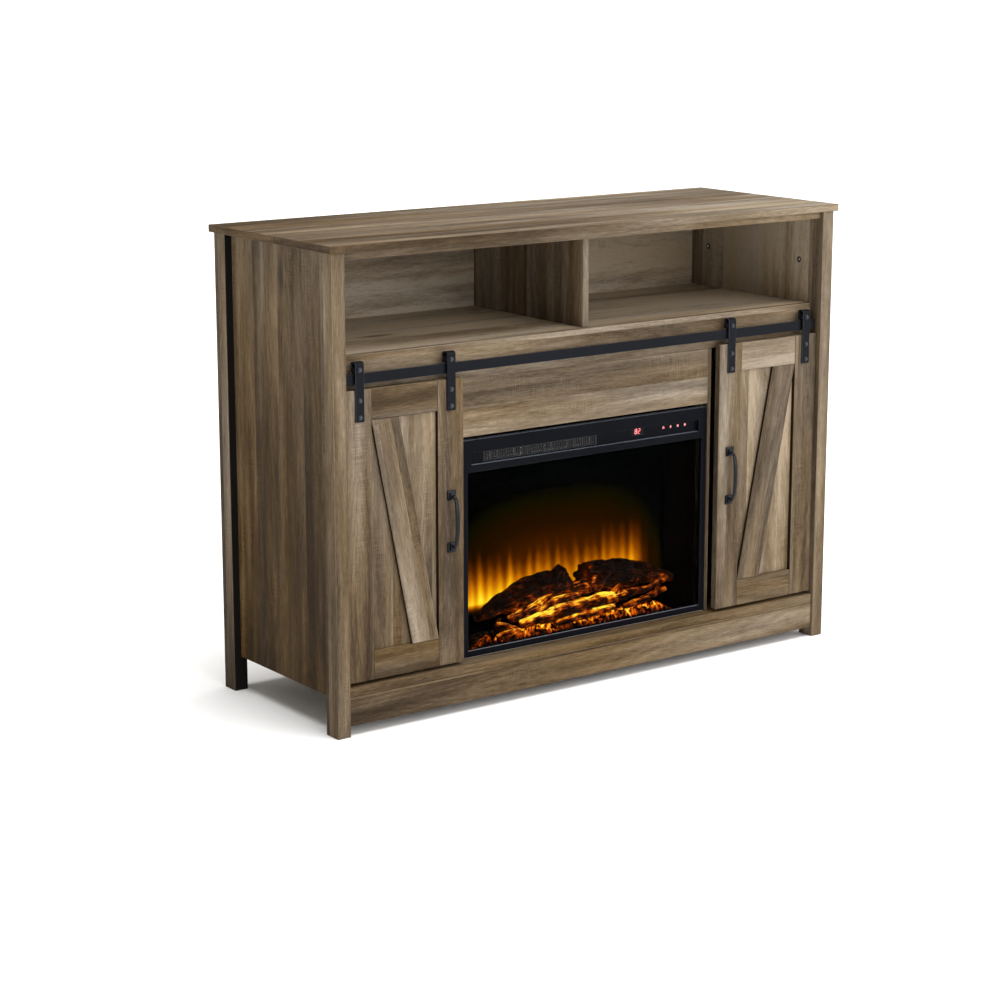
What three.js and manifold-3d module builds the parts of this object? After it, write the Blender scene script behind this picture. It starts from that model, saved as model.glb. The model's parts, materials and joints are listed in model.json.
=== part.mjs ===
// Electric fireplace: a barn-door media console with an electric fireplace insert in its centre.
// Millimetres, +Z up, +Y to the back, the front faces -Y. The origin is the bottom centre.

import * as THREE from 'three';
import { mergeGeometries, mergeVertices } from 'three/addons/utils/BufferGeometryUtils.js';
import Module from 'manifold-3d';

const wasm = await Module();
wasm.setup();

// ---------------------------------------------------------------- driving dimensions
const WIDTH = 1295.4; // top panel, side to side
const DEPTH = 457.2; // top panel, front to back
const HEIGHT = 965.2;
const BOARD = 15; // laminated board, all panels but the base and the backs
const BASE_BOARD = 18;
const BACK_BOARD = 5;
const GAP = 0.3; // clearance where two pieces meet

const POST_WIDTH = 30;
const POST_DEPTH = 42;
const POST_SIDE_INSET = 7; // from the top panel's edge
const POST_FRONT_INSET = 7.8;
const POST_BACK_INSET = 9.5;
const SIDE_PANEL_BOTTOM = 72;

const APRON_BOTTOM = 20.5;
const APRON_TOP = 79.7;
const APRON_INSET = 4; // behind the posts' front faces
const SUB_TOP_INSET = 9;
const RAIL_BOARD_INSET = 32.8;
const RAIL_BOARD_BOTTOM = 675.5;
const RAIL_BOARD_TOP = 748.5;
const FASCIA_BOTTOM = 557.5;
const FASCIA_HALF = 321;
const PARTITION_OUTER = 329.5; // half distance, outer face to outer face

const DOOR_INSET = 10;
const DOOR_INNER = 333; // distance of the closed door's inner edge from the centre
const DOOR_OUTER = 609.2;
const DOOR_BOTTOM = 104.5;
const DOOR_TOP = 684.3;
const DOOR_STILE = 61;
const DOOR_TOP_RAIL = 61;
const DOOR_BOTTOM_RAIL = 57;
const DOOR_PANEL_THICKNESS = 5;
const DOOR_PANEL_SETBACK = 7.3; // panel face behind the frame's face
const BRACE_RUN = 90.5; // how far the brace leans across the door
const BRACE_WIDTH = 63.1; // measured level

const HANDLE_SPACING = 106;
const HANDLE_HEIGHT = 398.5; // middle of the grip above the floor
const HANDLE_FOOT = 20;
const HANDLE_FOOT_THICKNESS = 5;
const HANDLE_PROJECTION = 26;
const GRIP_WIDTH = 9;
const GRIP_THICKNESS = 4;

const TRACK_HALF = 606;
const TRACK_TOP = 715.3;
const TRACK_HEIGHT = 20;
const TRACK_THICKNESS = 5;
const TRACK_SPACER_RADIUS = 6;
const TRACK_SPACER_PITCH = 240;
const HANGER_WIDTH = 20;
const HANGER_THICKNESS = 3;
const HANGER_BOTTOM = 622;
const HANGER_TOP = 739;
const HANGER_DEPTH = 17; // front of the strap to the back of its turned-over leaf
const HANGER_BEND = 6;
const HANGER_LEAF_BOTTOM = 717;
const HANGER_OUTER_X = 576;
const AXLE_HEIGHT = 723.5;
const AXLE_RADIUS = 3;
const ROLLER_BORE = 3.1;
const ROLLER_TREAD = 8;
const ROLLER_FLANGE = 11;
const ROLLER_WIDTH = 9;
const ROLLER_GROOVE = 6;

const BEZEL_HALF = 318.5;
const BEZEL_BOTTOM = 101.5;
const BEZEL_TOP = 550;
const BEZEL_DEPTH = 15;
const WINDOW_HALF = 306; // visible glass
const WINDOW_BOTTOM = 114;
const WINDOW_TOP = 484;
const GLASS_LAP = 5.5; // glass hidden behind the bezel's lip
const GLASS_LIP = 5; // depth of that lip
const GLASS_THICKNESS = 4;
const CHANNEL_HALF = 297;
const CHANNEL_BOTTOM = 499;
const CHANNEL_TOP = 523.5;
const CHANNEL_DEPTH = 8;
const GRILLE_LEFT = -262;
const GRILLE_RIGHT = 27;
const GRILLE_BOTTOM = 502;
const GRILLE_TOP = 521.5;
const GRILLE_THICKNESS = 2;
const GRILLE_COLUMNS = 48;
const GRILLE_ROWS = 3;
const DISPLAY_X = 135.5;
const DISPLAY_WIDTH = 30;
const DISPLAY_HEIGHT = 17;
const CONTROL_HEIGHT = 516.5; // middle of the display and keys above the floor
const FIRST_KEY_X = 205;
const KEY_PITCH = 19.6;
const KEY_RADIUS = 3.6;
const KEY_HOLE_RADIUS = 4;
const KEY_PROUD = 1.2;

const HOUSING_HALF = 303;
const HOUSING_TOP = 543;
const FLANGE_TOP = 572; // the housing's turned-up front edge stops behind the fascia
const HOUSING_BACK = 8;
const SHEET = 2; // steel sheet of the housing
const HEAT_SHIELD = 486; // top of the firebox, floor of the heater bay
const SCREEN_Y = -72;
const ROTOR_Y = -42;
const ROTOR_Z = 140;
const ROTOR_RADIUS = 20;
const ROTOR_HALF = 250;
const BLOWER_Y = -110;
const BLOWER_Z = 514;
const BLOWER_RADIUS = 19;
const BLOWER_LEFT = -235;
const BLOWER_RIGHT = -8;

// ---------------------------------------------------------------- planes that follow from them
const POST_OUT = WIDTH / 2 - POST_SIDE_INSET;
const POST_IN = POST_OUT - POST_WIDTH;
const INSIDE = POST_IN - GAP; // half width that is left between the posts
const POST_FRONT = -DEPTH / 2 + POST_FRONT_INSET;
const POST_BACK = DEPTH / 2 - POST_BACK_INSET;
const TOP_UNDERSIDE = HEIGHT - BOARD;
const UNDER_TOP = TOP_UNDERSIDE - GAP;
const SUB_TOP_UNDERSIDE = UNDER_TOP - BOARD;
const BASE_BOTTOM = APRON_TOP + GAP;
const BASE_TOP = BASE_BOTTOM + BASE_BOARD;
const RAIL_FRONT = POST_FRONT + RAIL_BOARD_INSET;
const RAIL_BACK = RAIL_FRONT + BOARD;
const SHELF_TOP = RAIL_BOARD_TOP - GAP;
const SHELF_UNDERSIDE = SHELF_TOP - BOARD;
const BACK_PANEL_FRONT = POST_BACK - 8;
const INSERT_FRONT = RAIL_FRONT + 1;
const BEZEL_BACK = INSERT_FRONT + BEZEL_DEPTH;
const DOOR_FRONT = POST_FRONT + DOOR_INSET;
const DOOR_BACK = DOOR_FRONT + BOARD;
const HANDLE_FRONT = DOOR_FRONT - HANDLE_PROJECTION;
const HANGER_INNER_X = DOOR_INNER + DOOR_STILE / 2;
const HANGER_FRONT = DOOR_FRONT - GAP - HANGER_THICKNESS;
const HANGER_BACK = HANGER_FRONT + HANGER_DEPTH;
const TRACK_Y = (HANGER_FRONT + HANGER_BACK) / 2; // the roller runs in the middle of its hanger
const CHANNEL_FLOOR = INSERT_FRONT + CHANNEL_DEPTH;

// ---------------------------------------------------------------- materials
function finish(color, roughness, metalness = 0) {
  return new THREE.MeshStandardMaterial({ color, roughness, metalness });
}
const rusticOak = finish(0x8a7660, 0.6);
const blackIron = finish(0x26262a, 0.5, 0.8);
const rollerNylon = finish(0x1c1c1e, 0.6);
const bezelBlack = finish(0x17181d, 0.35);
const sheetSteel = finish(0x2b2b2d, 0.6, 0.5);
const smokedGlass = finish(0x050505, 0.05);
const displayRed = finish(0xff3344, 0.4);
const screenGlow = finish(0xd08010, 0.7);
const charredLog = finish(0x3a2015, 0.9);
const emberAmber = finish(0xff7a18, 0.8);
const bareSteel = finish(0xa6a8aa, 0.35, 1);
const boardGreen = finish(0x1f4a32, 0.6);

// ---------------------------------------------------------------- geometry helpers
function boxOf([x0, x1], [y0, y1], [z0, z1]) {
  const box = new THREE.BoxGeometry(x1 - x0, y1 - y0, z1 - z0);
  return box.translate((x0 + x1) / 2, (y0 + y1) / 2, (z0 + z1) / 2);
}

// A range mirrored to the left (side -1) or kept on the right (side 1), in rising order.
function sideRange(side, a, b) {
  return side > 0 ? [a, b] : [-b, -a];
}

// Extrudes a shape drawn in (y, z) along X, between x0 and x1.
function extrudeAlongX(shape, x0, x1, curveSegments = 6) {
  const options = { depth: x1 - x0, bevelEnabled: false, curveSegments };
  const geometry = new THREE.ExtrudeGeometry(shape, options);
  const axes = new THREE.Matrix4().makeBasis(
    new THREE.Vector3(0, 1, 0),
    new THREE.Vector3(0, 0, 1),
    new THREE.Vector3(1, 0, 0),
  );
  return geometry.applyMatrix4(axes).translate(x0, 0, 0);
}

// Extrudes a shape drawn in (x, z) along Y, between y0 and y1.
function extrudeAlongY(shape, y0, y1) {
  const geometry = new THREE.ExtrudeGeometry(shape, { depth: y1 - y0, bevelEnabled: false });
  return geometry.rotateX(Math.PI / 2).translate(0, y1, 0);
}

function cylinderAlongX(radius, x0, x1, y, z, sides = 24) {
  const geometry = new THREE.CylinderGeometry(radius, radius, x1 - x0, sides);
  return geometry.rotateZ(Math.PI / 2).translate((x0 + x1) / 2, y, z);
}

function cylinderAlongY(radius, y0, y1, x, z, sides = 24) {
  return new THREE.CylinderGeometry(radius, radius, y1 - y0, sides).translate(x, (y0 + y1) / 2, z);
}

// A round bar that tapers from one point to another.
function taperedBar(from, to, fromRadius, toRadius, sides = 12) {
  const start = new THREE.Vector3(...from);
  const run = new THREE.Vector3(...to).sub(start);
  const bar = new THREE.CylinderGeometry(toRadius, fromRadius, run.length(), sides, 3);
  const turn = new THREE.Quaternion().setFromUnitVectors(
    new THREE.Vector3(0, 1, 0),
    run.clone().normalize(),
  );
  bar.applyQuaternion(turn);
  const middle = start.addScaledVector(run, 0.5);
  return bar.translate(middle.x, middle.y, middle.z);
}

function toManifold(geometry) {
  const bare = new THREE.BufferGeometry();
  bare.setAttribute('position', geometry.getAttribute('position'));
  bare.setIndex(geometry.getIndex());
  const merged = mergeVertices(bare, 1e-4);
  return new wasm.Manifold(new wasm.Mesh({
    numProp: 3,
    vertProperties: new Float32Array(merged.getAttribute('position').array),
    triVerts: new Uint32Array(merged.getIndex().array),
  }));
}

function fromManifold(manifold) {
  const mesh = manifold.getMesh();
  const geometry = new THREE.BufferGeometry();
  geometry.setAttribute('position', new THREE.BufferAttribute(mesh.vertProperties, 3));
  geometry.setIndex(new THREE.BufferAttribute(mesh.triVerts, 1));
  geometry.computeVertexNormals();
  return geometry;
}

// Joins the first list of geometries and cuts the second list out of them.
function carve(joined, cuts = []) {
  let body = toManifold(joined[0]);
  for (const geometry of joined.slice(1)) {
    body = body.add(toManifold(geometry));
  }
  for (const geometry of cuts) {
    body = body.subtract(toManifold(geometry));
  }
  return fromManifold(body);
}

// ---------------------------------------------------------------- the assembly
const fireplace = new THREE.Group();
const assembly = new THREE.Group();
fireplace.add(assembly);
// The door handles stand in front of the top panel, so the whole is centred between them and its back.
assembly.position.y = -(HANDLE_FRONT + DEPTH / 2) / 2;

function piece(name, geometry, material) {
  const mesh = new THREE.Mesh(geometry, material);
  mesh.name = name;
  assembly.add(mesh);
}

function board(name, x, y, z) {
  piece(name, boxOf(x, y, z), rusticOak);
}

const SIDES = [['left', -1], ['right', 1]];

function cabinetCarcass() {
  board('top_panel', [-WIDTH / 2, WIDTH / 2], [-DEPTH / 2, DEPTH / 2], [TOP_UNDERSIDE, HEIGHT]);
  const inside = [-INSIDE, INSIDE];
  const backEdge = BACK_PANEL_FRONT - GAP;
  const subTopFront = POST_FRONT + SUB_TOP_INSET;
  board('sub_top_panel', inside, [subTopFront, backEdge], [SUB_TOP_UNDERSIDE, UNDER_TOP]);
  const apronFront = POST_FRONT + APRON_INSET;
  board('bottom_panel', inside, [apronFront, backEdge], [BASE_BOTTOM, BASE_TOP]);
  board('front_apron', inside, [apronFront, apronFront + BOARD], [APRON_BOTTOM, APRON_TOP]);
  board('rail_board', inside, [RAIL_FRONT, RAIL_BACK], [RAIL_BOARD_BOTTOM, RAIL_BOARD_TOP]);
  board('media_shelf', inside, [RAIL_BACK + GAP, backEdge], [SHELF_UNDERSIDE, SHELF_TOP]);
  board(
    'media_divider',
    [-BOARD / 2, BOARD / 2],
    [RAIL_BACK + GAP, backEdge],
    [SHELF_TOP + GAP, SUB_TOP_UNDERSIDE - GAP],
  );
  board(
    'fascia_panel',
    [-FASCIA_HALF, FASCIA_HALF],
    [INSERT_FRONT, INSERT_FRONT + BOARD - GAP],
    [FASCIA_BOTTOM, RAIL_BOARD_BOTTOM - GAP],
  );
}

function cabinetSide(label, side) {
  const postX = sideRange(side, POST_IN, POST_OUT);
  const postZ = [0, UNDER_TOP];
  const frontPost = [POST_FRONT, POST_FRONT + POST_DEPTH];
  const rearPost = [POST_BACK - POST_DEPTH, POST_BACK];
  board(`front_${label}_post`, postX, frontPost, postZ);
  board(`rear_${label}_post`, postX, rearPost, postZ);
  board(
    `${label}_side_panel`,
    sideRange(side, POST_IN, POST_IN + BOARD),
    [frontPost[1] + GAP, rearPost[0] - GAP],
    [SIDE_PANEL_BOTTOM, UNDER_TOP],
  );
}

// The partition's front is rebated, so the fascia and the insert's bezel overlap half its edge.
function partition(label, side) {
  const rebate = INSERT_FRONT + BOARD + GAP;
  const bottom = BASE_TOP + GAP;
  const wall = boxOf(
    sideRange(side, PARTITION_OUTER - BOARD, PARTITION_OUTER),
    [rebate, BACK_PANEL_FRONT - GAP],
    [bottom, SHELF_UNDERSIDE - GAP],
  );
  const tongue = boxOf(
    sideRange(side, FASCIA_HALF + GAP, PARTITION_OUTER),
    [INSERT_FRONT, rebate + 1],
    [bottom, RAIL_BOARD_BOTTOM - GAP],
  );
  piece(`${label}_partition`, carve([wall, tongue]), rusticOak);
}

function backPanels() {
  const y = [BACK_PANEL_FRONT, BACK_PANEL_FRONT + BACK_BOARD];
  board('media_back_panel', [-INSIDE, INSIDE], y, [SHELF_UNDERSIDE, UNDER_TOP]);
  for (const [label, side] of SIDES) {
    const x = sideRange(side, PARTITION_OUTER - BOARD, INSIDE);
    board(`${label}_back_panel`, x, y, [BASE_BOTTOM, SHELF_UNDERSIDE - GAP]);
  }
}

function trackBar() {
  const middle = TRACK_TOP - TRACK_HEIGHT / 2;
  const back = TRACK_Y + TRACK_THICKNESS / 2;
  const bar = boxOf(
    [-TRACK_HALF, TRACK_HALF],
    [TRACK_Y - TRACK_THICKNESS / 2, back],
    [TRACK_TOP - TRACK_HEIGHT, TRACK_TOP],
  );
  const spacers = [];
  for (let step = -2; step <= 2; step += 1) {
    const x = step * TRACK_SPACER_PITCH;
    spacers.push(cylinderAlongY(TRACK_SPACER_RADIUS, back - 1, RAIL_FRONT - GAP, x, middle));
  }
  piece('track_bar', carve([bar, ...spacers]), blackIron);
}

// A flat strap whose top is turned over the roller, with the roller's axle riveted through it.
function hanger(name, x) {
  const t = HANGER_THICKNESS;
  const outer = HANGER_BEND;
  const inner = HANGER_BEND - t;
  const front = HANGER_FRONT;
  const back = HANGER_BACK;
  const shape = new THREE.Shape();
  shape.moveTo(front, HANGER_BOTTOM);
  shape.lineTo(front + t, HANGER_BOTTOM);
  shape.lineTo(front + t, HANGER_TOP - outer);
  shape.absarc(front + outer, HANGER_TOP - outer, inner, Math.PI, Math.PI / 2, true);
  shape.absarc(back - outer, HANGER_TOP - outer, inner, Math.PI / 2, 0, true);
  shape.lineTo(back - t, HANGER_LEAF_BOTTOM);
  shape.lineTo(back, HANGER_LEAF_BOTTOM);
  shape.absarc(back - outer, HANGER_TOP - outer, outer, 0, Math.PI / 2, false);
  shape.absarc(front + outer, HANGER_TOP - outer, outer, Math.PI / 2, Math.PI, false);
  shape.closePath();
  const strap = extrudeAlongX(shape, x - HANGER_WIDTH / 2, x + HANGER_WIDTH / 2);
  const axle = cylinderAlongY(AXLE_RADIUS, front + t / 2, back - t / 2, x, AXLE_HEIGHT);
  piece(name, carve([strap, axle]), blackIron);
}

// A flanged wheel with a groove that runs on the bar's top edge.
function roller(name, x) {
  const half = ROLLER_WIDTH / 2;
  const groove = ROLLER_GROOVE / 2;
  const profile = [
    [ROLLER_BORE, -half],
    [ROLLER_FLANGE, -half],
    [ROLLER_FLANGE, -groove],
    [ROLLER_TREAD, -groove],
    [ROLLER_TREAD, groove],
    [ROLLER_FLANGE, groove],
    [ROLLER_FLANGE, half],
    [ROLLER_BORE, half],
    [ROLLER_BORE, -half],
  ];
  const points = profile.map(([radius, along]) => new THREE.Vector2(radius, along));
  const wheel = new THREE.LatheGeometry(points, 24).translate(x, TRACK_Y, AXLE_HEIGHT);
  piece(name, carve([wheel]), rollerNylon);
}

function doorBrace(side) {
  const low = DOOR_BOTTOM + DOOR_BOTTOM_RAIL + GAP;
  const high = DOOR_TOP - DOOR_TOP_RAIL - GAP;
  const topOuter = DOOR_OUTER - DOOR_STILE - GAP;
  const corners = [
    [topOuter, high],
    [topOuter - BRACE_WIDTH, high],
    [topOuter - BRACE_WIDTH - BRACE_RUN, low],
    [topOuter - BRACE_RUN, low],
  ];
  const outline = new THREE.Shape(corners.map(([x, z]) => new THREE.Vector2(side * x, z)));
  const back = DOOR_FRONT + DOOR_PANEL_SETBACK - GAP;
  return extrudeAlongY(outline, DOOR_FRONT, back);
}

// Square feet and a bowed flat grip, drawn in side view and as wide as the grip.
function doorHandle(x) {
  const reach = HANDLE_SPACING / 2;
  const base = DOOR_FRONT - GAP;
  const face = HANDLE_FRONT;
  const under = HANDLE_FRONT + GRIP_THICKNESS;
  const top = HANDLE_HEIGHT + reach;
  const bottom = HANDLE_HEIGHT - reach;
  const shoulder = 26; // from a foot's middle to where the grip runs straight
  const grip = new THREE.Shape();
  grip.moveTo(base - 2, top + 4);
  grip.quadraticCurveTo(face, top - shoulder / 2, face, top - shoulder);
  grip.lineTo(face, bottom + shoulder);
  grip.quadraticCurveTo(face, bottom + shoulder / 2, base - 2, bottom - 4);
  grip.lineTo(base - 2, bottom + 4);
  grip.quadraticCurveTo(under, bottom + shoulder / 2 + 4, under, bottom + shoulder + 2);
  grip.lineTo(under, top - shoulder - 2);
  grip.quadraticCurveTo(under, top - shoulder / 2 - 4, base - 2, top - 4);
  grip.closePath();
  const bow = extrudeAlongX(grip, x - GRIP_WIDTH / 2, x + GRIP_WIDTH / 2, 8);
  const half = HANDLE_FOOT / 2;
  const feet = [top, bottom].map((z) => boxOf(
    [x - half, x + half],
    [base - HANDLE_FOOT_THICKNESS, base],
    [z - half, z + half],
  ));
  return carve([bow, ...feet]);
}

function door(label, side) {
  const y = [DOOR_FRONT, DOOR_BACK];
  const full = [DOOR_BOTTOM, DOOR_TOP];
  const stileIn = DOOR_INNER + DOOR_STILE;
  const stileOut = DOOR_OUTER - DOOR_STILE;
  const between = sideRange(side, stileIn + GAP, stileOut - GAP);
  const bottomRail = [DOOR_BOTTOM, DOOR_BOTTOM + DOOR_BOTTOM_RAIL];
  const topRail = [DOOR_TOP - DOOR_TOP_RAIL, DOOR_TOP];
  const panelFront = DOOR_FRONT + DOOR_PANEL_SETBACK;
  board(`${label}_door_inner_stile`, sideRange(side, DOOR_INNER, stileIn), y, full);
  board(`${label}_door_outer_stile`, sideRange(side, stileOut, DOOR_OUTER), y, full);
  board(`${label}_door_bottom_rail`, between, y, bottomRail);
  board(`${label}_door_top_rail`, between, y, topRail);
  board(
    `${label}_door_panel`,
    between,
    [panelFront, panelFront + DOOR_PANEL_THICKNESS],
    [bottomRail[1] + GAP, topRail[0] - GAP],
  );
  piece(`${label}_door_brace`, doorBrace(side), rusticOak);
  piece(`${label}_door_handle`, doorHandle(side * HANGER_INNER_X), blackIron);
  for (const [place, x] of [['outer', HANGER_OUTER_X], ['inner', HANGER_INNER_X]]) {
    hanger(`${label}_${place}_hanger`, side * x);
    roller(`${label}_${place}_roller`, side * x);
  }
}

const KEYS = ['power', 'flame', 'heat', 'timer'];

function keyX(index) {
  return FIRST_KEY_X + index * KEY_PITCH;
}

// The black front frame: a glass opening below, and a header with a channel for outlet and controls.
function insertBezel() {
  const frame = boxOf(
    [-BEZEL_HALF, BEZEL_HALF],
    [INSERT_FRONT, BEZEL_BACK],
    [BEZEL_BOTTOM, BEZEL_TOP],
  );
  const through = [INSERT_FRONT - 1, BEZEL_BACK + 1];
  const lap = GLASS_LAP + GAP;
  const cuts = [
    boxOf([-WINDOW_HALF, WINDOW_HALF], through, [WINDOW_BOTTOM, WINDOW_TOP]),
    boxOf(
      [-WINDOW_HALF - lap, WINDOW_HALF + lap],
      [INSERT_FRONT + GLASS_LIP, BEZEL_BACK + 1],
      [WINDOW_BOTTOM - lap, WINDOW_TOP + lap],
    ),
    boxOf(
      [-CHANNEL_HALF, CHANNEL_HALF],
      [INSERT_FRONT - 1, CHANNEL_FLOOR],
      [CHANNEL_BOTTOM, CHANNEL_TOP],
    ),
    boxOf([GRILLE_LEFT, GRILLE_RIGHT], through, [GRILLE_BOTTOM, GRILLE_TOP]),
    boxOf(
      [DISPLAY_X - DISPLAY_WIDTH / 2, DISPLAY_X + DISPLAY_WIDTH / 2],
      through,
      [CONTROL_HEIGHT - DISPLAY_HEIGHT / 2, CONTROL_HEIGHT + DISPLAY_HEIGHT / 2],
    ),
  ];
  for (let key = 0; key < KEYS.length; key += 1) {
    cuts.push(cylinderAlongY(KEY_HOLE_RADIUS, ...through, keyX(key), CONTROL_HEIGHT));
  }
  piece('insert_bezel', carve([frame], cuts), bezelBlack);
}

function insertGlass() {
  const half = WINDOW_HALF + GLASS_LAP;
  const front = INSERT_FRONT + GLASS_LIP + GAP;
  const pane = boxOf(
    [-half, half],
    [front, front + GLASS_THICKNESS],
    [WINDOW_BOTTOM - GLASS_LAP, WINDOW_TOP + GLASS_LAP],
  );
  piece('insert_glass', pane, smokedGlass);
}

function outletGrille() {
  const margin = 3;
  const columnPitch = (GRILLE_RIGHT - GRILLE_LEFT - 2 * margin) / GRILLE_COLUMNS;
  const rowPitch = (GRILLE_TOP - GRILLE_BOTTOM - margin) / GRILLE_ROWS;
  const halfW = 0.25 * columnPitch;
  const halfH = 0.38 * rowPitch;
  const y = [CHANNEL_FLOOR, CHANNEL_FLOOR + GRILLE_THICKNESS];
  const plate = boxOf(
    [GRILLE_LEFT + GAP, GRILLE_RIGHT - GAP],
    y,
    [GRILLE_BOTTOM + GAP, GRILLE_TOP - GAP],
  );
  const slots = [];
  for (let row = 0; row < GRILLE_ROWS; row += 1) {
    const z = GRILLE_BOTTOM + margin / 2 + (row + 0.5) * rowPitch;
    for (let column = 0; column < GRILLE_COLUMNS; column += 1) {
      const x = GRILLE_LEFT + margin + (column + 0.5) * columnPitch;
      slots.push(boxOf([x - halfW, x + halfW], [y[0] - 1, y[1] + 1], [z - halfH, z + halfH]));
    }
  }
  piece('outlet_grille', carve([plate], [mergeGeometries(slots)]), bezelBlack);
}

// The circuit board behind the header, with its two-digit display standing in the window.
function controlBoard() {
  const front = BEZEL_BACK + 2.1; // leaves the keys room to travel
  const halfW = DISPLAY_WIDTH / 2 - GAP;
  const halfH = DISPLAY_HEIGHT / 2 - GAP;
  const plate = boxOf(
    [DISPLAY_X - halfW - 3, keyX(KEYS.length - 1) + 12],
    [front, front + 1.6],
    [CONTROL_HEIGHT - 14, CONTROL_HEIGHT + 16],
  );
  const display = boxOf(
    [DISPLAY_X - halfW, DISPLAY_X + halfW],
    [CHANNEL_FLOOR + GAP, front + 0.8],
    [CONTROL_HEIGHT - halfH, CONTROL_HEIGHT + halfH],
  );
  piece('control_board', carve([plate, display]), boardGreen);
}

function controlKeys() {
  const front = CHANNEL_FLOOR - KEY_PROUD;
  KEYS.forEach((label, index) => {
    const cap = cylinderAlongY(KEY_RADIUS, front, BEZEL_BACK + 0.8, keyX(index), CONTROL_HEIGHT);
    piece(`${label}_key`, cap, displayRed);
  });
}

// Folded sheet-steel body: firebox below, heater bay above, rotor brackets and rear air slots.
function insertHousing() {
  const front = BEZEL_BACK + 0.5;
  const bottom = BASE_TOP + GAP;
  const inner = HOUSING_HALF - SHEET;
  const cavityY = [front - 1, HOUSING_BACK - SHEET];
  const width = [-HOUSING_HALF, HOUSING_HALF];
  const shell = carve(
    [
      boxOf(width, [front, HOUSING_BACK], [bottom, HOUSING_TOP]),
      boxOf(width, [front, front + SHEET], [HOUSING_TOP - 1, FLANGE_TOP]),
    ],
    [
      boxOf([-inner, inner], cavityY, [bottom + SHEET, HEAT_SHIELD]),
      boxOf([-inner, inner], cavityY, [HEAT_SHIELD + SHEET, HOUSING_TOP - SHEET]),
    ],
  );
  const brackets = [-1, 1].map((side) => boxOf(
    sideRange(side, ROTOR_HALF + 6, ROTOR_HALF + 8),
    [ROTOR_Y - 14, ROTOR_Y + 14],
    [bottom + SHEET - 1, ROTOR_Z + 14],
  ));
  const bearings = cylinderAlongX(3.1, -ROTOR_HALF - 20, ROTOR_HALF + 20, ROTOR_Y, ROTOR_Z);
  const slots = [];
  for (let column = 0; column < 16; column += 1) {
    const x = -225 + column * 30;
    slots.push(boxOf([x - 9, x + 9], [0, 20], [503, 509]));
    slots.push(boxOf([x - 9, x + 9], [0, 20], [519, 525]));
  }
  const body = carve([shell, ...brackets], [bearings, ...slots]);
  piece('insert_housing', body, sheetSteel);
}

function flameScreen() {
  const half = HOUSING_HALF - SHEET - 1;
  const floor = BASE_TOP + GAP + SHEET + GAP;
  const screen = boxOf([-half, half], [SCREEN_Y, SCREEN_Y + 3], [floor, HEAT_SHIELD - 6]);
  piece('flame_screen', screen, screenGlow);
}

function emberBed() {
  const floor = BASE_TOP + GAP + SHEET + GAP;
  const section = new THREE.Shape();
  section.moveTo(-169, floor);
  section.lineTo(SCREEN_Y - 4, floor);
  section.lineTo(SCREEN_Y - 4, 138);
  section.quadraticCurveTo(-128, 130, -150, 117);
  section.quadraticCurveTo(-164, 115, -169, 110);
  section.closePath();
  piece('ember_bed', extrudeAlongX(section, -272, 272), emberAmber);
}

// Two big crossed logs, a short one between them, and two thin ones in front, cast as one piece.
function logSet() {
  const logs = [
    taperedBar([-235, -112, 167], [-5, -112, 212], 26, 29),
    taperedBar([45, -108, 214], [284, -112, 174], 30, 22),
    taperedBar([-30, -128, 182], [125, -122, 186], 19, 20),
    taperedBar([-148, -134, 148], [24, -130, 167], 14, 15),
    taperedBar([-128, -152, 134], [158, -148, 149], 12, 13),
  ];
  piece('log_set', carve(logs), charredLog);
}

// A spindle with staggered reflector blades, which throws moving light on the screen.
function flameRotor() {
  const spindle = cylinderAlongX(3, -ROTOR_HALF - 8, ROTOR_HALF + 8, ROTOR_Y, ROTOR_Z, 16);
  const blades = [];
  const count = 16;
  const pitch = 2 * ROTOR_HALF / count;
  for (let index = 0; index < count; index += 1) {
    const blade = new THREE.BoxGeometry(pitch * 0.8, 1, 2 * ROTOR_RADIUS);
    blade.rotateX(index * Math.PI * 0.381966);
    blades.push(blade.translate(-ROTOR_HALF + (index + 0.5) * pitch, ROTOR_Y, ROTOR_Z));
  }
  piece('flame_rotor', carve([spindle, ...blades]), bareSteel);
}

function rotorMotor() {
  const start = ROTOR_HALF + 8 + GAP;
  const can = cylinderAlongX(22, start, start + 24, ROTOR_Y, ROTOR_Z, 32);
  piece('rotor_motor', can, bareSteel);
}

function blowerWheel() {
  const parts = [cylinderAlongX(2.5, BLOWER_LEFT - 4, BLOWER_RIGHT + 4, BLOWER_Y, BLOWER_Z, 16)];
  for (const x of [BLOWER_LEFT, (BLOWER_LEFT + BLOWER_RIGHT) / 2, BLOWER_RIGHT - 2]) {
    parts.push(cylinderAlongX(BLOWER_RADIUS, x, x + 2, BLOWER_Y, BLOWER_Z, 32));
  }
  const count = 18;
  for (let index = 0; index < count; index += 1) {
    const length = BLOWER_RIGHT - BLOWER_LEFT - 1;
    const blade = new THREE.BoxGeometry(length, 0.8, 6).rotateX(0.5);
    blade.translate((BLOWER_LEFT + BLOWER_RIGHT) / 2, 0, BLOWER_RADIUS - 3.6);
    blade.rotateX((index / count) * 2 * Math.PI);
    parts.push(blade.translate(0, BLOWER_Y, BLOWER_Z));
  }
  piece('blower_wheel', carve(parts), sheetSteel);
}

function blowerMotor() {
  const start = BLOWER_RIGHT + 4 + GAP;
  const can = cylinderAlongX(20, start, start + 38, BLOWER_Y, BLOWER_Z, 32);
  piece('blower_motor', can, bareSteel);
}

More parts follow.
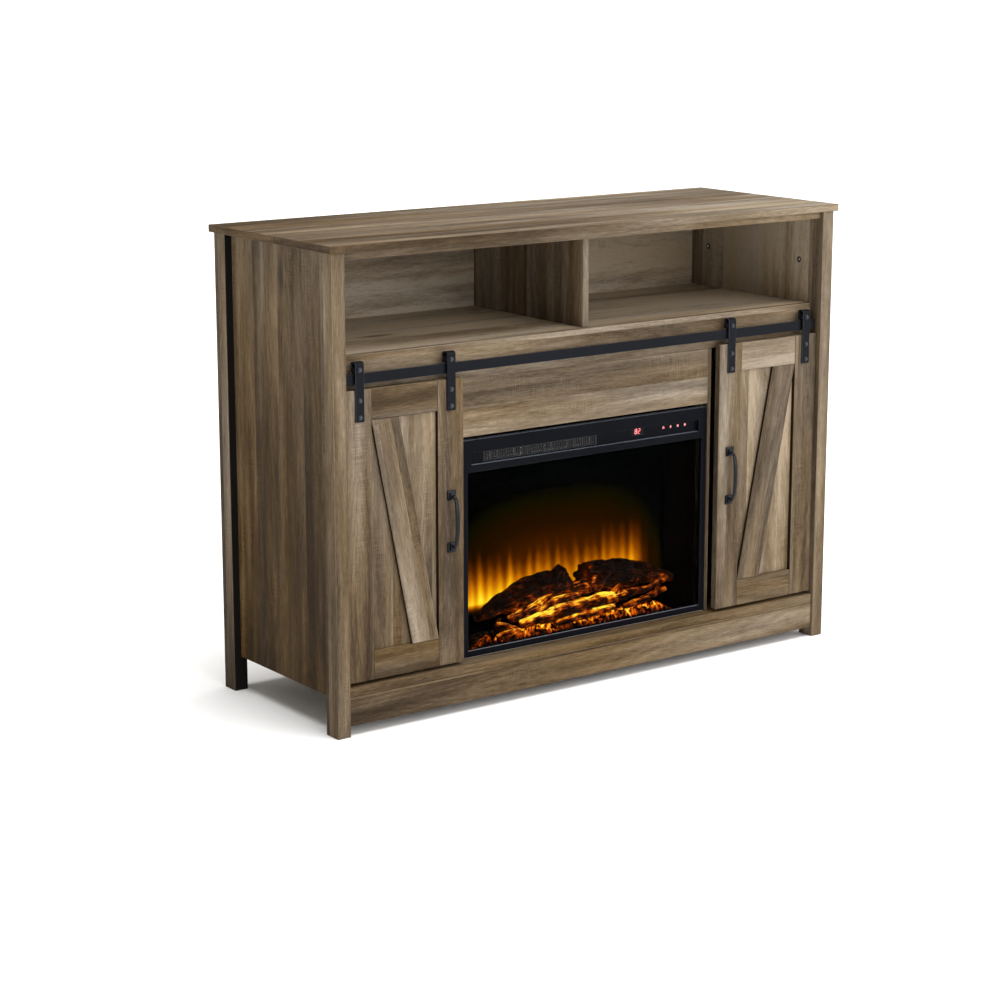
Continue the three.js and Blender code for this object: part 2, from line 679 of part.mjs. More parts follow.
// A ceramic frame whose cells carry the heating ribbon, just behind the outlet grille.
function heatingElement() {
  const [left, right] = [-258, 22];
  const [low, high] = [499, 529];
  const [front, back] = [-164, -142];
  const border = 4;
  const cells = 14;
  const pitch = (right - left - 2 * border) / cells;
  const openings = [];
  for (let cell = 0; cell < cells; cell += 1) {
    const x = left + border + (cell + 0.5) * pitch;
    openings.push(boxOf(
      [x - pitch * 0.4, x + pitch * 0.4],
      [front - 1, back + 1],
      [low + border, high - border],
    ));
  }
  const frame = boxOf([left, right], [front, back], [low, high]);
  piece('heating_element', carve([frame], [mergeGeometries(openings)]), bareSteel);
}

// The supply lead's strain-relief gland in the housing's back.
function cordGland() {
  const start = HOUSING_BACK + GAP;
  const profile = [[0, 0], [11, 0], [11, 3], [8, 3], [8, 12], [5, 20], [0, 20]];
  const points = profile.map(([radius, along]) => new THREE.Vector2(radius, along));
  const gland = new THREE.LatheGeometry(points, 24).translate(250, start, 135);
  piece('cord_gland', carve([gland]), rollerNylon);
}

cabinetCarcass();
for (const [label, side] of SIDES) {
  cabinetSide(label, side);
  partition(label, side);
}
backPanels();
trackBar();
for (const [label, side] of SIDES) {
  door(label, side);
}
insertBezel();
insertGlass();
outletGrille();
controlBoard();
controlKeys();
insertHousing();
flameScreen();
emberBed();
logSet();
flameRotor();
rotorMotor();
blowerWheel();
blowerMotor();
heatingElement();
cordGland();

export default fireplace;
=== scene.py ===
# %% [markdown]
# # A media console with an electric fireplace
# The real object is a cabinet of weathered oak laminate. A fireplace insert stands in its middle, and
# two barn doors hang from a black flat rail. The CAD model already holds every board, joint and size,
# so this lesson gives each piece its true edges, its finish and its small hardware.

# %% Load the frame
import json
import math
import random

import bmesh
import bpy
from mathutils import Matrix, Vector, noise


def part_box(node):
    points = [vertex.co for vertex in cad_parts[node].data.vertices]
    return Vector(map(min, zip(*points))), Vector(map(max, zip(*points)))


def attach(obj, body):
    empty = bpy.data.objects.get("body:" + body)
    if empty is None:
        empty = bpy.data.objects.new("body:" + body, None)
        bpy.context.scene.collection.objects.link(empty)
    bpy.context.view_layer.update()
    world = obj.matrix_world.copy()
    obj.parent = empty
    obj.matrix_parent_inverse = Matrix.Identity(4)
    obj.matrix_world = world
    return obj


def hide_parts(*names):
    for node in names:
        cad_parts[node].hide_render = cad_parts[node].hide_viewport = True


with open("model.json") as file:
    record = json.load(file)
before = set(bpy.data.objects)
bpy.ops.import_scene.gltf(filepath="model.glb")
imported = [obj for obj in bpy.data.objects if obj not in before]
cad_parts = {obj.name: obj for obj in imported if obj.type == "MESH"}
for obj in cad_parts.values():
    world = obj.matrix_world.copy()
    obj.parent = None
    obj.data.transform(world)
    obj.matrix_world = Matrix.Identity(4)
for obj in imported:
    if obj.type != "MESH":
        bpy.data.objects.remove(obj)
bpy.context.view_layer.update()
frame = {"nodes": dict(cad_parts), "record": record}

MM = 0.001
FRONT = Vector((0, -1, 0))
BODY_OF = {
    node: body
    for body, nodes in frame["record"]["behaviour"]["bodies"].items()
    for node in nodes
}

# %% [markdown]
# ## Camera
# The camera looks at the cabinet's front from the left, from a little above its top. A long lens far
# away keeps the uprights nearly parallel, as in a furniture catalogue.

# %% Camera
camera_data = bpy.data.cameras.new("camera")
camera_data.lens = 88.6
camera_data.sensor_width = 36
camera = bpy.data.objects.new("camera", camera_data)
camera.location = (-3.0736, -4.1016, 1.5207)
camera.rotation_euler = (math.pi / 2 - 0.2237, 0, -0.6283)
bpy.context.scene.collection.objects.link(camera)
bpy.context.scene.camera = camera
bpy.context.scene.view_settings.view_transform = "Standard"
print("camera:", tuple(round(value, 2) for value in camera.location))

# %% [markdown]
# ## Floor and studio light
# A pale seamless floor, a wide soft box overhead, a weaker one low at the front right, and a weak
# even sky. The low one reaches into the open shelves. The left side stays in shade, which shows the
# depth of the posts and panels.

# %% Floor and light
FLOOR_REACH = 90
WARM_SKY = (1, 0.96, 0.90, 1)
floor_mesh = bpy.data.meshes.new("floor")
bm = bmesh.new()
bmesh.ops.create_grid(bm, x_segments=1, y_segments=1, size=FLOOR_REACH)
bm.to_mesh(floor_mesh)
bm.free()
floor = bpy.data.objects.new("floor", floor_mesh)
bpy.context.scene.collection.objects.link(floor)


def soft_sun(name, towards, energy, spread):
    """An even light from one direction, as wide as a soft box of that many degrees."""
    data = bpy.data.lights.new(name, "SUN")
    data.energy = energy
    data.angle = math.radians(spread)
    light = bpy.data.objects.new(name, data)
    light.rotation_euler = Vector(towards).to_track_quat("Z", "Y").to_euler()
    bpy.context.scene.collection.objects.link(light)


soft_sun("front_soft_box", (0.30, -0.92, 0.25), 3.0, 64)
soft_sun("overhead_soft_box", (0.10, -0.14, 0.98), 4.0, 50)

world = bpy.data.worlds.new("studio")
world.use_nodes = True
world.node_tree.nodes["Background"].inputs["Color"].default_value = WARM_SKY
world.node_tree.nodes["Background"].inputs["Strength"].default_value = 0.40
bpy.context.scene.world = world
print("lights:", len(bpy.data.lights), "soft boxes and a weak sky")

# %% [markdown]
# ## Nodes in few words
# A procedural finish is a small graph. This helper adds one node, sets or joins its inputs and
# returns one output, so that a finish reads from top to bottom like a recipe.


# %% Graph helper
class Graph:
    """A node tree with a short way to add and join nodes."""

    def __init__(self, tree):
        self.tree = tree

    def add(self, kind, inputs=None, out=0, **settings):
        made = self.tree.nodes.new("ShaderNode" + kind)
        for key, value in settings.items():
            setattr(made, key, value)
        for key, value in (inputs or {}).items():
            self.feed(made.inputs[key], value)
        return made.outputs[out]

    def feed(self, socket, value):
        if isinstance(value, bpy.types.NodeSocket):
            self.tree.links.new(value, socket)
        else:
            socket.default_value = value

    def maths(self, operation, a, b=0.5, c=0.5, clamp=False):
        return self.add("Math", {0: a, 1: b, 2: c}, operation=operation, use_clamp=clamp)

    def noise(self, vector, stretch, detail=3.0, seed=0.0, roughness=0.55):
        placed = self.add("Mapping", {"Vector": vector, "Scale": stretch, "Location": (seed,) * 3})
        settings = {"Vector": placed, "Scale": 1.0, "Detail": detail, "Roughness": roughness}
        return self.add("TexNoise", settings)

    def remap(self, value, low, high, to_low=0.0, to_high=1.0):
        return self.add("MapRange", {0: value, 1: low, 2: high, 3: to_low, 4: to_high})

    def mix(self, factor, a, b, blend="MIX"):
        return self.add("Mix", {0: factor, 6: a, 7: b}, out=2, data_type="RGBA", blend_type=blend)

    def ramp(self, factor, stops):
        made = self.add("ValToRGB", {0: factor}).node
        elements = made.color_ramp.elements
        while len(elements) < len(stops):
            elements.new(0.5)
        for element, (place, colour) in zip(elements, stops):
            element.position = place
            element.color = (*colour, 1)
        return made.outputs[0]


print("graph helper ready")


# %% Groups and materials
def new_group(name, inputs, outputs):
    """An empty shader group with named sockets: its graph, its inputs and its output node."""
    tree = bpy.data.node_groups.new(name, "ShaderNodeTree")
    for label, kind in inputs.items():
        tree.interface.new_socket(label, in_out="INPUT", socket_type="NodeSocket" + kind)
    for label, kind in outputs.items():
        tree.interface.new_socket(label, in_out="OUTPUT", socket_type="NodeSocket" + kind)
    given = tree.nodes.new("NodeGroupInput").outputs
    result = tree.nodes.new("NodeGroupOutput").inputs
    return Graph(tree), given, result


def new_material(name, **shader_inputs):
    """A material with one Principled shader: the material, its graph and its shader."""
    material = bpy.data.materials.new(name)
    material.use_nodes = True
    shader = material.node_tree.nodes["Principled BSDF"]
    for label, value in shader_inputs.items():
        shader.inputs[label.replace("_", " ")].default_value = value
    return material, Graph(material.node_tree), shader


def use_group(graph, group, inputs):
    made = graph.tree.nodes.new("ShaderNodeGroup")
    made.node_tree = group
    for label, value in inputs.items():
        graph.feed(made.inputs[label], value)
    return made.outputs


def connect(graph, shader, surface, strength, distance):
    """Joins a group's colour, roughness and height to the shader, the height through a bump."""
    graph.feed(shader.inputs["Base Color"], surface["Color"])
    graph.feed(shader.inputs["Roughness"], surface["Roughness"])
    inputs = {"Height": surface["Height"], "Strength": strength, "Distance": distance}
    graph.feed(shader.inputs["Normal"], graph.add("Bump", inputs))


print("group and material helpers ready")

# %% [markdown]
# ## Weathered oak laminate
# The boards are chipboard under a printed oak film. The print shows planks of slightly different
# tone, long streaks, arched growth lines, fine dark pores, knots, and patches of saw marks that run
# across. It is one shader group. It reads each board's own UV map, where U runs along the grain in
# metres and V runs across it. It leaves the film lighter where an edge is rubbed, as wear and as a
# painted highlight, and it takes each board's painted light and shade as a tone.

# %% Oak figure group
PLANK_WIDTH = 0.093
PLANK_SHIFT = 4.0
GROWTH_LINES = 15.0
KNOT_CELLS = (2.1, 7.5, 1)
KNOT_RARITY = 0.72
OAK_TONES = (
    (0.00, (0.022, 0.013, 0.006)),
    (0.28, (0.056, 0.036, 0.018)),
    (0.52, (0.112, 0.077, 0.043)),
    (0.76, (0.178, 0.131, 0.081)),
    (1.00, (0.280, 0.221, 0.152)),
)
KNOT_BROWN = (0.022, 0.014, 0.009, 1)
PORE_BROWN = (0.040, 0.027, 0.017, 1)
RUBBED_AND_HIGHLIT_OAK = (0.400, 0.330, 0.245, 1)


def oak_figure():
    graph, given, result = new_group(
        "oak figure",
        {"Vector": "Vector", "Tone_and_painted_light": "Float", "Worn_and_highlit": "Float"},
        {"Color": "Color", "Roughness": "Float", "Height": "Float"},
    )
    across = graph.add("SeparateXYZ", {0: given["Vector"]}, out=1)
    plank = graph.maths("FLOOR", graph.maths("DIVIDE", across, PLANK_WIDTH))
    plank_tone = graph.add("TexWhiteNoise", {"W": plank}, noise_dimensions="1D")
    shift = graph.add("CombineXYZ", {0: graph.maths("MULTIPLY", plank_tone, PLANK_SHIFT)})
    placed = graph.add("VectorMath", {0: given["Vector"], 1: shift}, operation="ADD")

    streaks = graph.noise(placed, (2.2, 34, 1), detail=6, seed=3, roughness=0.6)
    bands = graph.noise(placed, (1.1, 9, 1), detail=3, seed=11)
    arches = graph.noise(placed, (1.5, 12, 1), detail=1, seed=23, roughness=0.4)
    lines = graph.maths("PINGPONG", graph.maths("MULTIPLY", arches, GROWTH_LINES), 0.5)
    fibres = graph.noise(placed, (40, 430, 1), detail=4, seed=31, roughness=0.7)
    pores = graph.noise(placed, (42, 820, 1), detail=2, seed=41)
    saw = graph.noise(placed, (380, 24, 1), detail=2, seed=53)
    patches = graph.remap(graph.noise(placed, (5, 15, 1), detail=2, seed=61), 0.52, 0.68)
    washed = graph.noise(placed, (1.1, 13, 1), detail=2, seed=71)
    marks = graph.maths("MULTIPLY", graph.maths("SUBTRACT", saw, 0.5), patches)

    value = graph.remap(streaks, 0.25, 0.75, 0.22, 0.78)
    for part, middle, weight in (
        (bands, 0.5, 1.45),
        (lines, 0.25, 0.20),
        (plank_tone, 0.5, 0.26),
        (fibres, 0.5, 0.80),
        (marks, 0.0, 0.55),
    ):
        centred = graph.maths("SUBTRACT", part, middle)
        value = graph.maths("MULTIPLY_ADD", centred, weight, value)
    # Tone adds each board's painted light and shade: a low tone also turns more saturated, as shade
    # does, and a high tone is lifted in value, which paints light into the open shelves.
    value = graph.maths("ADD", value, given["Tone_and_painted_light"])
    colour = graph.ramp(value, OAK_TONES)
    saturation = graph.remap(washed, 0.35, 0.65, 0.80, 1.12)
    shade = graph.maths("MINIMUM", given["Tone_and_painted_light"], 0.1)
    saturation = graph.maths("MULTIPLY_ADD", shade, -0.7, saturation)
    lift = graph.remap(given["Tone_and_painted_light"], 0.25, 0.65, 1.0, 1.7)
    settings = {"Saturation": saturation, "Value": lift, "Color": colour}
    colour = graph.add("HueSaturation", settings)

    cells = graph.add("Mapping", {"Vector": placed, "Scale": KNOT_CELLS})
    knots = graph.add("TexVoronoi", {"Vector": cells, "Scale": 1.0}, feature="F1").node.outputs
    draw = graph.add("SeparateColor", {0: knots["Color"]})
    chosen = graph.maths("GREATER_THAN", draw, KNOT_RARITY)
    bent = graph.maths("SUBTRACT", streaks, 0.5)
    wobble = graph.maths("MULTIPLY_ADD", bent, 0.16, knots["Distance"])
    knot = graph.maths("MULTIPLY", graph.remap(wobble, 0.115, 0.03), chosen)
    colour = graph.mix(graph.maths("MULTIPLY", knot, 0.75), colour, KNOT_BROWN)
    dots = graph.maths("MULTIPLY", graph.remap(pores, 0.60, 0.70), 0.55)
    colour = graph.mix(dots, colour, PORE_BROWN)
    # Painted highlight and wear: the rubbed edge is lighter.
    rubbed_and_highlit = graph.maths("MULTIPLY", given["Worn_and_highlit"], graph.remap(streaks, 0.3, 0.6, 0.35, 0.85))
    colour = graph.mix(rubbed_and_highlit, colour, RUBBED_AND_HIGHLIT_OAK)

    graph.feed(result["Color"], colour)
    graph.feed(result["Roughness"], graph.remap(value, 0.1, 0.9, 0.62, 0.44))
    height = graph.maths("MULTIPLY_ADD", fibres, 0.5, graph.maths("MULTIPLY", lines, 0.6))
    height = graph.maths("SUBTRACT", graph.maths("MULTIPLY_ADD", marks, 1.2, height), dots)
    graph.feed(result["Height"], height)
    return graph.tree


oak_group = oak_figure()
print("oak figure nodes:", len(oak_group.nodes))

# %% Oak materials


def oak_laminate():
    material, graph, shader = new_material("weathered_oak_laminate", Specular_IOR_Level=0.09)
    surface = use_group(graph, oak_group, {
        "Vector": graph.add("UVMap", uv_map="decor"),
        "Tone_and_painted_light": graph.add("Attribute", attribute_name="tone_and_painted_light", out=2),
        "Worn_and_highlit": graph.add("Attribute", attribute_name="worn_and_highlit", out=2),
    })
    connect(graph, shader, surface, 0.35, 0.0005)
    return material


oak = oak_laminate()
print("oak laminate ready")

# %% [markdown]
# ## Coats of paint, plastic and sheet metal
# Everything that isn't wood has an even colour that real use has broken up: a faint mottle in the
# colour, patches of polish, and the fine skin of powder coat or moulding. One group gives these
# three, and each material asks for its own colour, grain size and spread.


# %% Coat group
def coat_skin():
    graph, given, result = new_group(
        "coat skin",
        {"Color": "Color", "Mottle": "Float", "Grain": "Float", "Polish": "Float", "Spread": "Float"},
        {"Color": "Color", "Roughness": "Float", "Height": "Float"},
    )
    place = graph.add("TexCoord", out=3)
    cloud = graph.noise(place, (9, 9, 9), detail=4, seed=5)
    settings = {"Vector": place, "Scale": given["Grain"], "Detail": 2.0}
    skin = graph.add("TexNoise", settings)
    shade = graph.maths("MULTIPLY_ADD", graph.maths("SUBTRACT", cloud, 0.5), given["Mottle"], 1.0)
    speck = graph.maths("MULTIPLY_ADD", graph.maths("SUBTRACT", skin, 0.5), given["Mottle"], shade)
    tint = graph.add("CombineColor", {0: speck, 1: speck, 2: speck})
    graph.feed(result["Color"], graph.mix(1.0, given["Color"], tint, blend="MULTIPLY"))
    change = graph.maths("SUBTRACT", cloud, 0.5)
    rough = graph.maths("MULTIPLY_ADD", change, given["Spread"], given["Polish"], clamp=True)
    graph.feed(result["Roughness"], rough)
    graph.feed(result["Height"], skin)
    return graph.tree


coat_group = coat_skin()


def coated(name, colour, polish, mottle=0.5, grain=900.0, spread=0.25, skin=0.12, **shader_inputs):
    material, graph, shader = new_material(name, **shader_inputs)
    surface = use_group(graph, coat_group, {
        "Color": (*colour, 1),
        "Mottle": mottle,
        "Grain": grain,
        "Polish": polish,
        "Spread": spread,
    })
    connect(graph, shader, surface, skin, 0.0002)
    return material


print("coat skin nodes:", len(coat_group.nodes))

# %% Coats
COLD_BLACK = (0.0045, 0.0052, 0.0078)
BEZEL_BLACK = (0.0026, 0.0030, 0.0048)

# Painted shade: a dark coat on the door's cut edges round the panel's recess.
painted_shade_edge = coated("painted_shade_cut_edge", (0.018, 0.012, 0.007), 0.7, Specular_IOR_Level=0.05)
black_edge = coated(
    "black_painted_edge", (0.006, 0.005, 0.004), 0.7, grain=400, Specular_IOR_Level=0.1)
hardboard = coated(
    "brown_hardboard", (0.155, 0.098, 0.058), 0.75, mottle=0.9, grain=260, skin=0.3)
iron = coated(
    "black_powder_coat", COLD_BLACK, 0.34, grain=1300, skin=0.2, Specular_IOR_Level=0.07)
cast_iron = coated(
    "cast_black_coat", COLD_BLACK, 0.24, grain=800, skin=0.2, Specular_IOR_Level=0.17)
# A lighter coat for eased edges and bolt heads: wear, and a painted highlight.
worn_and_highlit_iron = coated(
    "rubbed_and_highlit_powder_coat", (0.017, 0.020, 0.028), 0.3, grain=1300, Specular_IOR_Level=0.4)
nylon = coated("black_nylon", (0.007, 0.007, 0.008), 0.5, grain=700, Specular_IOR_Level=0.15)
bezel_paint = coated(
    "satin_black_bezel", BEZEL_BLACK, 0.34, grain=1500, skin=0.1, Specular_IOR_Level=0.035)
# A lighter rim coat: a painted highlight on the bezel's edges and ledges, with wear on the edges.
highlit_bezel_rim = coated(
    "rubbed_and_highlit_bezel_rim", (0.110, 0.122, 0.150), 0.3, grain=1500, Specular_IOR_Level=0.3)
grille_paint = coated(
    "grille_paint", (0.0045, 0.0050, 0.0064), 0.4, grain=900, Specular_IOR_Level=0.2)
heat_paint = coated(
    "heatproof_black", (0.0015, 0.0014, 0.0014), 0.9, grain=500, skin=0.2, Specular_IOR_Level=0.02)
zinc = coated("zinc_plate", (0.55, 0.56, 0.58), 0.35, grain=1800, Metallic=1.0)
foil = coated("reflector_foil", (0.86, 0.86, 0.88), 0.16, grain=300, skin=0.4, Metallic=1.0)
ceramic = coated("heater_ceramic", (0.62, 0.58, 0.52), 0.7, mottle=0.4, grain=800)
green_board = coated("circuit_board", (0.012, 0.060, 0.032), 0.4, grain=400)
display_black = coated(
    "display_window", (0.003, 0.002, 0.003), 0.15, skin=0.02, Specular_IOR_Level=0.1)
sill_beige = coated("sill_trim", (0.20, 0.175, 0.145), 0.4, grain=900)
pale_floor = coated("studio_floor", (0.86, 0.86, 0.86), 0.8, mottle=0.01, grain=40, skin=0.0)
floor_mesh.materials.append(pale_floor)
print("materials:", len(bpy.data.materials))

# %% [markdown]
# ## A copy to work on
# A CAD board is loose triangles with knife edges. A copy is merged and its flat faces are joined, its
# edges are eased with a narrow bevel, and the copy then stands for the CAD board. The eased strip is
# marked as worn and highlit: a printed film shows its first wear on the edges, and its lighter colour
# also paints the highlight that an edge catches.


# %% Piece helpers
def bench_copy(node):
    """A workable copy of a CAD node: its points merged, its flat faces joined."""
    copy = bmesh.new()
    copy.from_mesh(frame["nodes"][node].data)
    bmesh.ops.remove_doubles(copy, verts=copy.verts, dist=1e-6)
    flat = math.radians(0.5)
    bmesh.ops.dissolve_limit(copy, angle_limit=flat, verts=copy.verts, edges=copy.edges)
    return copy


def ease_edges(copy, width, segments=2, sharper_than=30):
    """Bevels the edges that turn more than an angle, and returns the new narrow faces."""
    limit = math.radians(sharper_than)
    sharp = [e for e in copy.edges if len(e.link_faces) == 2 and e.calc_face_angle() > limit]
    made = bmesh.ops.bevel(
        copy,
        geom=sharp,
        offset=width,
        offset_type="OFFSET",
        affect="EDGES",
        segments=segments,
        profile=0.5,
        material=-1,
        clamp_overlap=True,
    )
    return made["faces"]


def add_piece(name, shape, body, materials, stands_for=(), smooth_under=None):
    """Makes an object of the shape, lets it ride on a body and names what it stands for."""
    mesh = bpy.data.meshes.new(name)
    shape.to_mesh(mesh)
    shape.free()
    for material in materials:
        mesh.materials.append(material)
    mesh.polygons.foreach_set("use_smooth", [smooth_under is not None] * len(mesh.polygons))
    if smooth_under is not None:
        mesh.set_sharp_from_angle(angle=math.radians(smooth_under))
    piece = bpy.data.objects.new(name, mesh)
    bpy.context.scene.collection.objects.link(piece)
    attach(piece, body)
    if stands_for:
        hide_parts(*stands_for)
    return piece


def coated_copy(node, width, materials, smooth_under=None):
    """An eased copy of a CAD node, whose eased strips take the second material."""
    copy = bench_copy(node)
    for face in ease_edges(copy, width):
        face.material_index = min(1, len(materials) - 1)
    name = node + "_finished"
    add_piece(name, copy, BODY_OF[node], materials, [node], smooth_under)


def refinish(node, material):
    """Keeps a CAD node's shape and changes its material."""
    mesh = frame["nodes"][node].data
    mesh.materials.clear()
    mesh.materials.append(material)


print("piece helpers ready")

# %% [markdown]
# ## The boards
# Every board gets its own stretch of the printed film. The grain follows the board's length, as the
# film is wrapped in practice: posts, sides, stiles and door panels upright, shelves and rails level,
# and the braces along their own slope.

# %% Board builder
ALONG_X = Vector((1, 0, 0))
ALONG_Y = Vector((0, 1, 0))
UPRIGHT = Vector((0, 0, 1))
FILM_LENGTH = 9.0
EDGE_EASE = 1.0 * MM
FACING = 0.7


def lay_film(copy, grain, seed):
    """Maps the film onto every face in metres, U along the grain and V across it."""
    chance = random.Random(seed)
    shift = Vector((chance.uniform(0, FILM_LENGTH), chance.uniform(0, FILM_LENGTH)))
    film = copy.loops.layers.uv.new("decor")
    for face in copy.faces:
        along = grain
        if abs(face.normal.dot(grain)) > 0.8:
            along = ALONG_X if abs(face.normal.x) < 0.5 else ALONG_Y
        across = face.normal.cross(along).normalized()
        along = across.cross(face.normal)
        for corner in face.loops:
            place = corner.vert.co
            corner[film].uv = shift + Vector((place.dot(along), place.dot(across)))


def board(node, grain, tone_and_painted_light=0.0, paint=None, second=None, painted_light_drift=(0, 0, 0)):
    """An eased, film-wrapped board; paint(face) picks the faces that take the second material.

    The film's tone carries painted light and shade, and it may drift across the board as a painted
    gradient of light: the amounts are for its width, depth and height."""
    copy = bench_copy(node)
    worn_and_highlit_faces = set(ease_edges(copy, EDGE_EASE))
    copy.normal_update()
    lay_film(copy, grain, node)
    worn_and_highlit = copy.faces.layers.float.new("worn_and_highlit")
    tone_and_painted_light_layer = copy.verts.layers.float.new("tone_and_painted_light")
    low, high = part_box(node)
    # Painted light and shade: each point's tone shifts with its place in the board's box.
    for vert in copy.verts:
        shares = [(vert.co[i] - low[i]) / (high[i] - low[i]) - 0.5 for i in range(3)]
        vert[tone_and_painted_light_layer] = tone_and_painted_light + sum(amount * share for amount, share in zip(painted_light_drift, shares))
    # The eased faces are marked for the lighter edge, which is wear and a painted highlight.
    for face in copy.faces:
        face[worn_and_highlit] = 1.0 if face in worn_and_highlit_faces else 0.0
        if paint and paint(face):
            face.material_index = 1
    materials = [oak, second] if second else [oak]
    add_piece(node + "_board", copy, BODY_OF[node], materials, [node])


print("board builder ready")

# %% Cabinet boards
# Painted light and shade in these tones and drifts: the bottom board and apron darker, most level
# boards lighter to the right, the fascia darker towards its top, the side panels darker towards the
# floor and lighter on their inner faces, the open shelf lighter, and its divider darker towards the
# back.
LEVEL_BOARDS = {
    "top_panel": (0.05, (0.36, 0, 0)),
    "sub_top_panel": (0.05, (0, 0, 0)),
    "bottom_panel": (-0.12, (0.10, 0, 0)),
    "front_apron": (-0.12, (0.12, 0, 0.06)),
    "rail_board": (0.14, (0.14, 0, 0)),
    "media_shelf": (0.54, (0, 0, 0)),
    "fascia_panel": (0.09, (0.06, 0, -0.10)),
}
UPRIGHT_BOARDS = {
    "media_divider": (0.21, (0, -0.16, 0)),
    "left_side_panel": (0.04, (0.60, 0, 0.48)),
    "right_side_panel": (0.04, (-0.60, 0, 0.48)),
    "left_partition": (0.0, (0, 0, 0)),
    "right_partition": (0.0, (0, 0, 0)),
}
for node, (tone_and_painted_light, painted_light_drift) in LEVEL_BOARDS.items():
    board(node, ALONG_X, tone_and_painted_light, painted_light_drift=painted_light_drift)
for node, (tone_and_painted_light, painted_light_drift) in UPRIGHT_BOARDS.items():
    board(node, UPRIGHT, tone_and_painted_light, painted_light_drift=painted_light_drift)
print("cabinet boards:", len(LEVEL_BOARDS) + len(UPRIGHT_BOARDS))

# %% [markdown]
# The posts are wrapped on three sides only. The side that faces along the side panel is painted
# black, and it shows as a dark line beside the panel and on the rear foot.

# %% Posts and back panels
# Painted shade: the posts darken towards their foot.
POST_PAINTED_SHADE = (0, 0, 0.12)
NICHE_PAINTED_LIGHT_TONE = 0.44
for side in ("left", "right"):
    # Painted light: the right posts are lighter than the left.
    light = {"left": -0.02, "right": 0.10}[side]
    for end, inward in (("front", 1), ("rear", -1)):
        post = f"{end}_{side}_post"
        board(post, UPRIGHT, light, lambda face: face.normal.y * inward > FACING, black_edge, POST_PAINTED_SHADE)
# Painted light: the back panels take a raised tone, which lightens the backs of the open shelves and
# compartments.
for node in ("media_back_panel", "left_back_panel", "right_back_panel"):
    board(node, ALONG_X, NICHE_PAINTED_LIGHT_TONE, lambda face: face.normal.y > FACING, hardboard)
print("posts and back panels done")

# %% [markdown]
# ## Barn doors
# Each door is a frame of two stiles and two rails round a thin panel, with one brace across it. The
# brace leans outwards to the top on both doors, so its grain runs along that slope. The cut edges
# that face the panel, and the sides of the brace, carry painted shade, a dark coat that draws a fine
# line round it.

# %% Doors
BRACE_RUN = 90.5 * MM
BRACE_TONE = 0.09
CUT_DIRECTIONS = {
    "inner_stile": (1, 0),
    "outer_stile": (-1, 0),
    "top_rail": (0, -1),
    "bottom_rail": (0, -1),
    "panel": (0, 0),
}


def cut_side(part, sign):
    """Says which faces of a door part take the painted shade: those that face the panel."""
    across, up = CUT_DIRECTIONS[part]
    return lambda face: face.normal.x * sign * across + face.normal.z * up > FACING


for side, sign in (("left", -1), ("right", 1)):
    # Painted light: the right door is lighter than the left, its stiles and panel lighter towards the
    # top, its bottom rail darker.
    light = {"left": -0.05, "right": 0.11}[side]
    for part, grain, tone_and_painted_light, painted_light_drift in (
        ("inner_stile", UPRIGHT, 0.0, (0, 0, 0.08)),
        ("outer_stile", UPRIGHT, 0.0, (0, 0, 0.08)),
        ("bottom_rail", ALONG_X, -0.12, (0, 0, 0)),
        ("top_rail", ALONG_X, 0.02, (0, 0, 0)),
        ("panel", UPRIGHT, 0.13, (0.10, 0, 0.20)),
    ):
        board(f"{side}_door_{part}", grain, tone_and_painted_light + light, cut_side(part, sign), painted_shade_edge, painted_light_drift)
    low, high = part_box(f"{side}_door_brace")
    slope = Vector((sign * BRACE_RUN, 0, high.z - low.z)).normalized()
    board(f"{side}_door_brace", slope, BRACE_TONE, lambda face: abs(face.normal.y) < 0.3, painted_shade_edge)
print("door pieces:", len([name for name in BODY_OF if "_door_" in name]))

# %% [markdown]
# ## Black iron hardware
# The flat track, the four straps and the two pulls are steel under black powder coat. The coat is
# thin on the edges, so the eased strips are a little lighter, which also paints their highlight. The
# bolt heads take the same lighter coat. Each strap carries three hex bolts: the top one is the axle of
# its nylon wheel, and the lower two hold the strap to the door.


# %% Track, straps and wheels
def face_disc(shape, centre, radius, height, segments, taper=1.0):
    """A short drum or cone that stands on a front face, from its centre on that face."""
    bmesh.ops.create_cone(
        shape,
        cap_ends=True,
        segments=segments,
        radius1=radius,
        radius2=radius * taper,
        depth=height,
        matrix=Matrix.Translation(centre + FRONT * height / 2) @ Matrix.Rotation(math.pi / 2, 4, "X"),
    )


coated_copy("track_bar", 0.5 * MM, [iron, worn_and_highlit_iron])
STRAP_BOLT_HEIGHTS = (0.7235, 0.664, 0.631)
BOLT_STEPS = (
    # start, radius, height, sides, taper: the washer, the hex head and its chamfer
    (0.0, 5.2, 0.8, 20, 0.94),
    (0.8, 4.0, 2.2, 6, 0.9),
    (3.0, 3.4, 0.6, 6, 0.55),
)
for side in ("left", "right"):
    for place in ("outer", "inner"):
        strap = f"{side}_{place}_hanger"
        coated_copy(strap, 0.7 * MM, [iron, worn_and_highlit_iron])
        coated_copy(f"{side}_{place}_roller", 0.4 * MM, [nylon], smooth_under=35)
        low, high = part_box(strap)
        bolts = bmesh.new()
        for height in STRAP_BOLT_HEIGHTS:
            seat = Vector(((low.x + high.x) / 2, low.y, height))
            for start, radius, rise, sides, taper in BOLT_STEPS:
                spot = seat + FRONT * start * MM
                face_disc(bolts, spot, radius * MM, rise * MM, sides, taper)
        add_piece(strap + "_bolts", bolts, BODY_OF[strap], [worn_and_highlit_iron])
print("strap bolts:", 4 * len(STRAP_BOLT_HEIGHTS))

# %% [markdown]
# ## Door pulls
# A cast pull has two square feet with a small neck on each, and a bow that is slim at the necks and
# fuller where the fingers hold it. The bow is a grid rolled into a tube along an arch.


